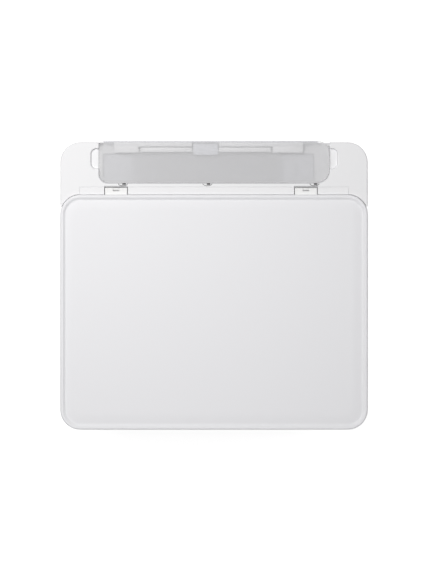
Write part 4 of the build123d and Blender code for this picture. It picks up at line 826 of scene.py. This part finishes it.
@dataclass
class Panel:
    """What is printed on the front panel: the marks, the status lamp and the screen's border.

    Sizes are in millimetres.
    """

    workshop: Workshop
    key_xs: tuple[float, float] = (50.0, 72.0)
    power_x: float = -112.0
    key_z: float = 75.5
    lamp_drop: float = 12.0
    ink: float = 0.02
    ink_edge: float = 0.005
    border: float = 1.2
    border_width: float = 1.6
    border_corner: float = 3.0
    power_radius: float = 2.4
    power_line: float = 0.5
    stop_half: float = 1.7
    start_radius: float = 2.5

    def _power(self, bm: bmesh.types.BMesh) -> None:
        """Draw a ring with a bar through its top.

        Args:
            bm: The mesh that gets them.
        """
        ring = bmesh.ops.create_circle(
            bm, cap_ends=True, segments=40, radius=self.power_radius * MM
        )
        ring_of(bm, ring["verts"][0].link_faces[0], self.power_line)
        thicken(bm, self.ink)
        half = self.power_line / 2
        moulded_plate(
            bm, (-half, half), (0.6, 3.3), (0.0, self.ink), 0.2, self.ink_edge, 2
        )

    def _stop(self, bm: bmesh.types.BMesh) -> None:
        """Draw a square."""
        side = (-self.stop_half, self.stop_half)
        moulded_plate(bm, side, side, (0.0, self.ink), 0.3, self.ink_edge, 3)

    def _start(self, bm: bmesh.types.BMesh) -> None:
        """Draw an arrow head that points to the right.

        Args:
            bm: The mesh that gets it.
        """
        head = bmesh.ops.create_circle(
            bm, cap_ends=True, segments=3, radius=self.start_radius * MM
        )
        quarter = Euler((0.0, 0.0, math.radians(-90.0))).to_matrix()
        bmesh.ops.rotate(bm, matrix=quarter, verts=head["verts"])
        thicken(bm, self.ink)

    def marks(self) -> None:
        """Print a plain symbol on each key."""
        for key, x, draw in (
            ("power", self.power_x, self._power),
            ("stop", self.key_xs[0], self._stop),
            ("start", self.key_xs[1], self._start),
        ):
            low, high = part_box(f"{key}_button")
            bm = bmesh.new()
            draw(bm)
            place = (x * MM, (low[2] + high[2]) / 2, 0.0)
            bmesh.ops.translate(bm, vec=place, verts=bm.verts[:])
            turned_to_front(bm, low[1] / MM)
            piece = publish(bm, f"{key}_mark", f"{key}_key")
            self.workshop.dress(piece, INK_MARK)

    def bezel(self) -> None:
        """Print a dark border round the screen glass."""
        low, high = (Vector(corner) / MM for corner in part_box("panel_screen"))
        bm = bmesh.new()
        plate = rounded_plate(
            bm,
            ((low.x + high.x) / 2, (low.z + high.z) / 2, 0.0),
            (high.x - low.x + 2 * self.border, high.z - low.z + 2 * self.border),
            self.border_corner,
            8,
        )
        ring_of(bm, plate, self.border_width)
        thicken(bm, 2 * self.ink)
        turned_to_front(bm, low.y + self.ink)
        shade(bm)
        piece = publish(bm, "screen_bezel", "panel")
        self.workshop.dress(piece, DARK_GREY)

    def lamp(self) -> None:
        """Set a small status lamp under the power key."""
        bm = bmesh.new()
        height = (0.0, 2 * self.ink)
        moulded_plate(bm, (-4.0, 4.0), (-0.7, 0.7), height, 0.6, self.ink_edge, 4)
        place = Vector((self.power_x, self.key_z - self.lamp_drop, 0.0)) * MM
        bmesh.ops.translate(bm, vec=place, verts=bm.verts[:])
        turned_to_front(bm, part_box("operation_panel")[0][1] / MM + self.ink)
        piece = publish(bm, "status_lamp", "panel")
        self.workshop.dress(piece, LAMP_WHITE)

    def build(self) -> None:
        """Make the border, the lamp and the marks."""
        self.bezel()
        self.lamp()
        self.marks()


@dataclass
class ScannerBed:
    """The pad under the lid and the size marks round the glass.

    Sizes are in millimetres.
    """

    workshop: Workshop
    pad_corner: float = 6.0
    # Each pair is a step inwards and a step down, from the pad's side to its flat face.
    pad_edge: tuple[tuple[float, float], ...] = (
        (0.1, 0.3), (0.25, 0.3), (0.4, 0.2), (0.6, 0.12), (0.9, 0.08)
    )
    frame_top_z: float = 127.0
    window_half: float = 150.0
    window_depth: float = 217.0
    tick_step: float = 10.0
    tick_gap: float = 0.9
    tick_half: float = 0.2
    tick_lengths: tuple[float, float] = (3.6, 1.8)
    ink: tuple[float, float] = (-0.02, 0.05)
    arrow_radius: float = 3.0
    arrow_offset: float = 3.4

    def pad(self) -> None:
        """Mould the soft pad, with round corners and a rolled edge."""
        low, high = (Vector(corner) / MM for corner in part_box("document_pad"))
        bm = bmesh.new()
        face = rounded_plate(
            bm,
            ((low.x + high.x) / 2, (low.y + high.y) / 2, high.z),
            (high.x - low.x, high.y - low.y),
            self.pad_corner,
            10,
        )
        face.normal_flip()
        grown = bmesh.ops.extrude_face_region(bm, geom=[face], use_keep_orig=True)
        under = next(g for g in grown["geom"] if isinstance(g, bmesh.types.BMFace))
        face.normal_flip()
        drop = high.z - low.z - sum(down for _, down in self.pad_edge)
        bmesh.ops.translate(bm, vec=(0, 0, -drop * MM), verts=under.verts[:])
        for inwards, down in self.pad_edge:
            bmesh.ops.inset_region(
                bm,
                faces=[under],
                thickness=inwards * MM,
                depth=down * MM,
                use_even_offset=True,
                use_boundary=True,
            )
        bmesh.ops.recalc_face_normals(bm, faces=bm.faces[:])
        shade(bm, 60.0)
        piece = publish(bm, "document_pad_foam", "lid")
        self.workshop.dress(piece, PAD_WHITE)
        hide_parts("document_pad")

    def _tick(
        self, bm: bmesh.types.BMesh, x: tuple[float, float], y: tuple[float, float]
    ) -> None:
        """Print one line on the frame.

        Args:
            bm: The mesh that takes the line.
            x: Where it starts and ends from left to right, in millimetres.
            y: The same from front to back.
        """
        z = (self.frame_top_z + self.ink[0], self.frame_top_z + self.ink[1])
        moulded_plate(bm, x, y, z, 0.1, 0.02, 1)

    def ticks(self) -> None:
        """Print size marks along the back and left edges of the glass, with a corner arrow."""
        low, high = (Vector(corner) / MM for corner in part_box("platen_glass"))
        back = (low.y + high.y) / 2 + self.window_depth / 2
        left = -self.window_half
        start, half = back + self.tick_gap, self.tick_half
        bm = bmesh.new()
        for index in range(1, int(2 * self.window_half / self.tick_step)):
            x = left + index * self.tick_step
            length = self.tick_lengths[0 if index % 5 == 0 else 1]
            self._tick(bm, (x - half, x + half), (start, start + length))
        for index in range(1, int(self.window_depth / self.tick_step)):
            y = back - index * self.tick_step
            length = self.tick_lengths[0 if index % 5 == 0 else 1]
            right = left - self.tick_gap
            self._tick(bm, (right - length, right), (y - half, y + half))
        head = bmesh.ops.create_circle(
            bm, cap_ends=True, segments=3, radius=self.arrow_radius * MM
        )
        eighth = Euler((0.0, 0.0, math.radians(-45.0))).to_matrix()
        bmesh.ops.rotate(bm, matrix=eighth, verts=head["verts"])
        aside = self.arrow_offset
        place = Vector((left - aside, back + aside, self.frame_top_z + self.ink[1])) * MM
        bmesh.ops.translate(bm, vec=place, verts=head["verts"])
        piece = publish(bm, "platen_size_marks", "scanner")
        self.workshop.dress(piece, INK_MARK)

    def build(self) -> None:
        """Make the pad and the marks."""
        self.pad()
        self.ticks()


@dataclass
class Workings:
    """The parts inside that are one piece of CAD but several materials, and the ink labels.

    Sizes are in millimetres.
    """

    workshop: Workshop
    board_top_z: float = 31.65
    port_front_y: float = BACK_Y - 23.5
    # Each roller's axis as y and z, and its shaft's radius.
    shafts: tuple[tuple[str, float, float, float], ...] = (
        ("eject_roller", -22.0, 50.0, 2.5),
        ("rear_roller", 93.4, 78.2, 3.0),
    )
    shaft_margin: float = 0.25
    inlet_x: float = 155.0
    inlet_z: float = 26.0
    pin_x: float = 3.0
    pin_radius: float = 1.6
    pin_y: tuple[float, float] = (BACK_Y - 12.5, BACK_Y - 4.5)
    label_step: float = 16.0
    label_half: float = 9.0
    label_y: tuple[float, float] = (14.0, -10.0)
    label_z: tuple[float, float] = (-0.02, 0.1)

    def board(self) -> None:
        """Give the board its solder mask, its black chips and its plated socket."""

        def choose(point: Vector) -> int:
            """Give 0 for the board, 1 for a chip and 2 for the socket."""
            if point.z < self.board_top_z:
                return 0
            return 2 if point.y > self.port_front_y else 1

        parted("main_board", self.workshop, (BOARD_GREEN, BLACK, SHEET_STEEL), choose)

    def rollers(self) -> None:
        """Give each roller its steel shaft and its rubber sleeves."""
        for name, y, z, radius in self.shafts:

            def choose(point: Vector, y: float = y, z: float = z, radius: float = radius) -> int:
                """Give 0 for the shaft and 1 for the rubber."""
                away = math.hypot(point.y - y, point.z - z)
                return 0 if away < radius + self.shaft_margin else 1

            parted(name, self.workshop, (GROUND_STEEL, ROLLER_RUBBER), choose)

    def supply(self) -> None:
        """Give the power supply its black socket with two plated pins."""

        def choose(point: Vector) -> int:
            """Give 0 for the case and 1 for a pin."""
            across = abs(point.x - self.inlet_x) - self.pin_x
            near = math.hypot(across, point.z - self.inlet_z) < self.pin_radius
            return 1 if near and self.pin_y[0] < point.y < self.pin_y[1] else 0

        parted("power_supply", self.workshop, (BLACK, GROUND_STEEL), choose)

    def labels(self) -> None:
        """Stick a plain colour label on each ink cartridge."""
        low, high = (Vector(corner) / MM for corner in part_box("ink_cartridges"))
        middle = (low.x + high.x) / 2
        y = (low.y + self.label_y[0], high.y + self.label_y[1])
        z = (high.z + self.label_z[0], high.z + self.label_z[1])
        for name, x, finish in (
            ("ink_label_colour", middle - self.label_step, LABEL_COLOUR),
            ("ink_label_black", middle + self.label_step, LABEL_BLACK),
        ):
            bm = bmesh.new()
            moulded_plate(bm, (x - self.label_half, x + self.label_half), y, z, 1.5, 0.05)
            piece = publish(bm, name, "print_carriage")
            self.workshop.dress(piece, finish)

    def build(self) -> None:
        """Dress the workings."""
        self.board()
        self.rollers()
        self.supply()
        self.labels()


@dataclass(frozen=True)
class SoftLamp:
    """A square soft lamp that points at the machine.

    Attributes:
        name: The lamp's name.
        place: Where it hangs, in metres.
        size: The side of its square, in metres.
        watts: Its power.
        colour: Its sRGB colour as hex.
    """

    name: str
    place: tuple[float, float, float]
    size: float
    watts: float
    colour: str = "#FFFFFF"

    def hang(self, aim: Vector) -> None:
        """Put the lamp in the scene.

        Args:
            aim: The point that it is turned to, in metres.
        """
        data = bpy.data.lights.new(self.name, "AREA")
        data.shape = "SQUARE"
        data.size = self.size
        data.energy = self.watts
        data.color = linear(self.colour)[:3]
        lamp = bpy.data.objects.new(self.name, data)
        lamp.visible_camera = False
        lamp.location = self.place
        along = aim - Vector(self.place)
        lamp.rotation_euler = along.to_track_quat("-Z", "Y").to_euler()
        bpy.context.scene.collection.objects.link(lamp)


@dataclass
class Studio:
    """The pale floor, the soft lamps and the camera straight above, as in the photograph.

    Sizes are in metres.
    """

    camera_height: float = 3.14
    camera_y: float = -0.0003
    view_width: float = 0.5234
    view_plane: float = 0.138
    sensor: float = 36.0
    aim: Vector = field(default_factory=lambda: Vector((0.0, 0.0, 0.1)))
    world_light: float = 0.12
    floor_half: float = 6.0
    floor_glow: float = 0.8
    # The first two light the lid as in the photo. The fills light the front and the right side,
    # which the photo doesn't show.
    lamps: tuple[SoftLamp, ...] = (
        SoftLamp("key_back_left", (-0.5, 0.56, 1.25), 0.6, 9.8, "#FFFEFC"),
        SoftLamp("softbox_overhead", (0.0, 0.0, 1.65), 1.6, 11.9),
        SoftLamp("fill_front", (0.3, -2.2, 0.32), 0.9, 6.0),
        SoftLamp("fill_right", (2.2, 0.2, 0.32), 0.9, 1.8),
    )

    def camera(self) -> None:
        """Put a long lens over the middle of the machine."""
        data = bpy.data.cameras.new("photo_camera")
        data.sensor_fit = "HORIZONTAL"
        data.sensor_width = self.sensor
        data.lens = self.sensor * (self.camera_height - self.view_plane) / self.view_width
        data.clip_end = 20.0
        camera = bpy.data.objects.new("photo_camera", data)
        camera.location = (0.0, self.camera_y, self.camera_height)
        bpy.context.scene.collection.objects.link(camera)
        bpy.context.scene.camera = camera

    def world(self) -> None:
        """Light from all round, and show plain white past the floor."""
        world = bpy.data.worlds.new("studio_world")
        bpy.context.scene.world = world
        world.use_nodes = True
        tree = world.node_tree
        tree.nodes.clear()
        seen = self._seen(tree)
        strength = node(
            tree,
            "ShaderNodeMapRange",
            {"To Min": self.world_light, "To Max": 1.0},
            {"Value": seen},
        )
        light = node(
            tree,
            "ShaderNodeBackground",
            {"Color": linear("#FFFFFF")},
            {"Strength": strength.outputs["Result"]},
        )
        output = node(tree, "ShaderNodeOutputWorld")
        tree.links.new(light.outputs["Background"], output.inputs["Surface"])

    def _seen(self, tree: bpy.types.NodeTree) -> bpy.types.NodeSocket:
        """Tell the rays that look from the rays that light.

        Args:
            tree: The node tree that gets the nodes.

        Returns:
            1 where the camera, a reflection or a clear piece looks, and 0 for light.
        """
        path = node(tree, "ShaderNodeLightPath")
        first = node(
            tree,
            "ShaderNodeMath",
            {"operation": "MAXIMUM"},
            {0: path.outputs["Is Camera Ray"], 1: path.outputs["Is Glossy Ray"]},
        )
        second = node(
            tree,
            "ShaderNodeMath",
            {"operation": "MAXIMUM"},
            {0: first.outputs[0], 1: path.outputs["Is Transmission Ray"]},
        )
        return second.outputs[0]

    def floor(self) -> None:
        """Lay a pale floor that shows white and still takes the machine's soft shadow."""
        bm = bmesh.new()
        bmesh.ops.create_grid(bm, x_segments=4, y_segments=4, size=self.floor_half)
        mesh = bpy.data.meshes.new("studio_floor")
        bm.to_mesh(mesh)
        bm.free()
        floor = bpy.data.objects.new("studio_floor", mesh)
        bpy.context.scene.collection.objects.link(floor)
        material = bpy.data.materials.new("studio_floor_white")
        material.use_nodes = True
        tree = material.node_tree
        tree.nodes.clear()
        matt = node(tree, "ShaderNodeBsdfDiffuse", {"Color": linear("#C8C8C8")})
        glow = node(
            tree,
            "ShaderNodeEmission",
            {"Color": linear("#FFFFFF")},
        )
        strength = node(
            tree,
            "ShaderNodeMapRange",
            {"To Min": 0.0, "To Max": self.floor_glow},
            {"Value": self._seen(tree)},
        )
        tree.links.new(strength.outputs["Result"], glow.inputs["Strength"])
        both = node(
            tree, "ShaderNodeAddShader", links={0: matt.outputs[0], 1: glow.outputs[0]}
        )
        output = node(tree, "ShaderNodeOutputMaterial")
        tree.links.new(both.outputs[0], output.inputs["Surface"])
        mesh.materials.append(material)

    def build(self) -> None:
        """Set up the whole studio."""
        scene = bpy.context.scene
        scene.view_settings.view_transform = "Standard"
        self.camera()
        self.world()
        self.floor()
        for lamp in self.lamps:
            lamp.hang(self.aim)


def main() -> None:
    """Build the studio and the pieces in order, and dress the CAD nodes that still show."""
    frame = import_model()
    workshop = Workshop()
    Studio().build()
    Lid(workshop).build()
    RearTray(workshop).build()
    Panel(workshop).build()
    ScannerBed(workshop).build()
    Workings(workshop).build()
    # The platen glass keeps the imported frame's own clear material.
    for name, finish in NODE_FINISHES.items():
        if not frame["nodes"][name].hide_render:
            workshop.dress(frame["nodes"][name], finish)
    bpy.context.view_layer.update()


if __name__ == "__main__":
    logging.basicConfig(level=logging.INFO)
    main()
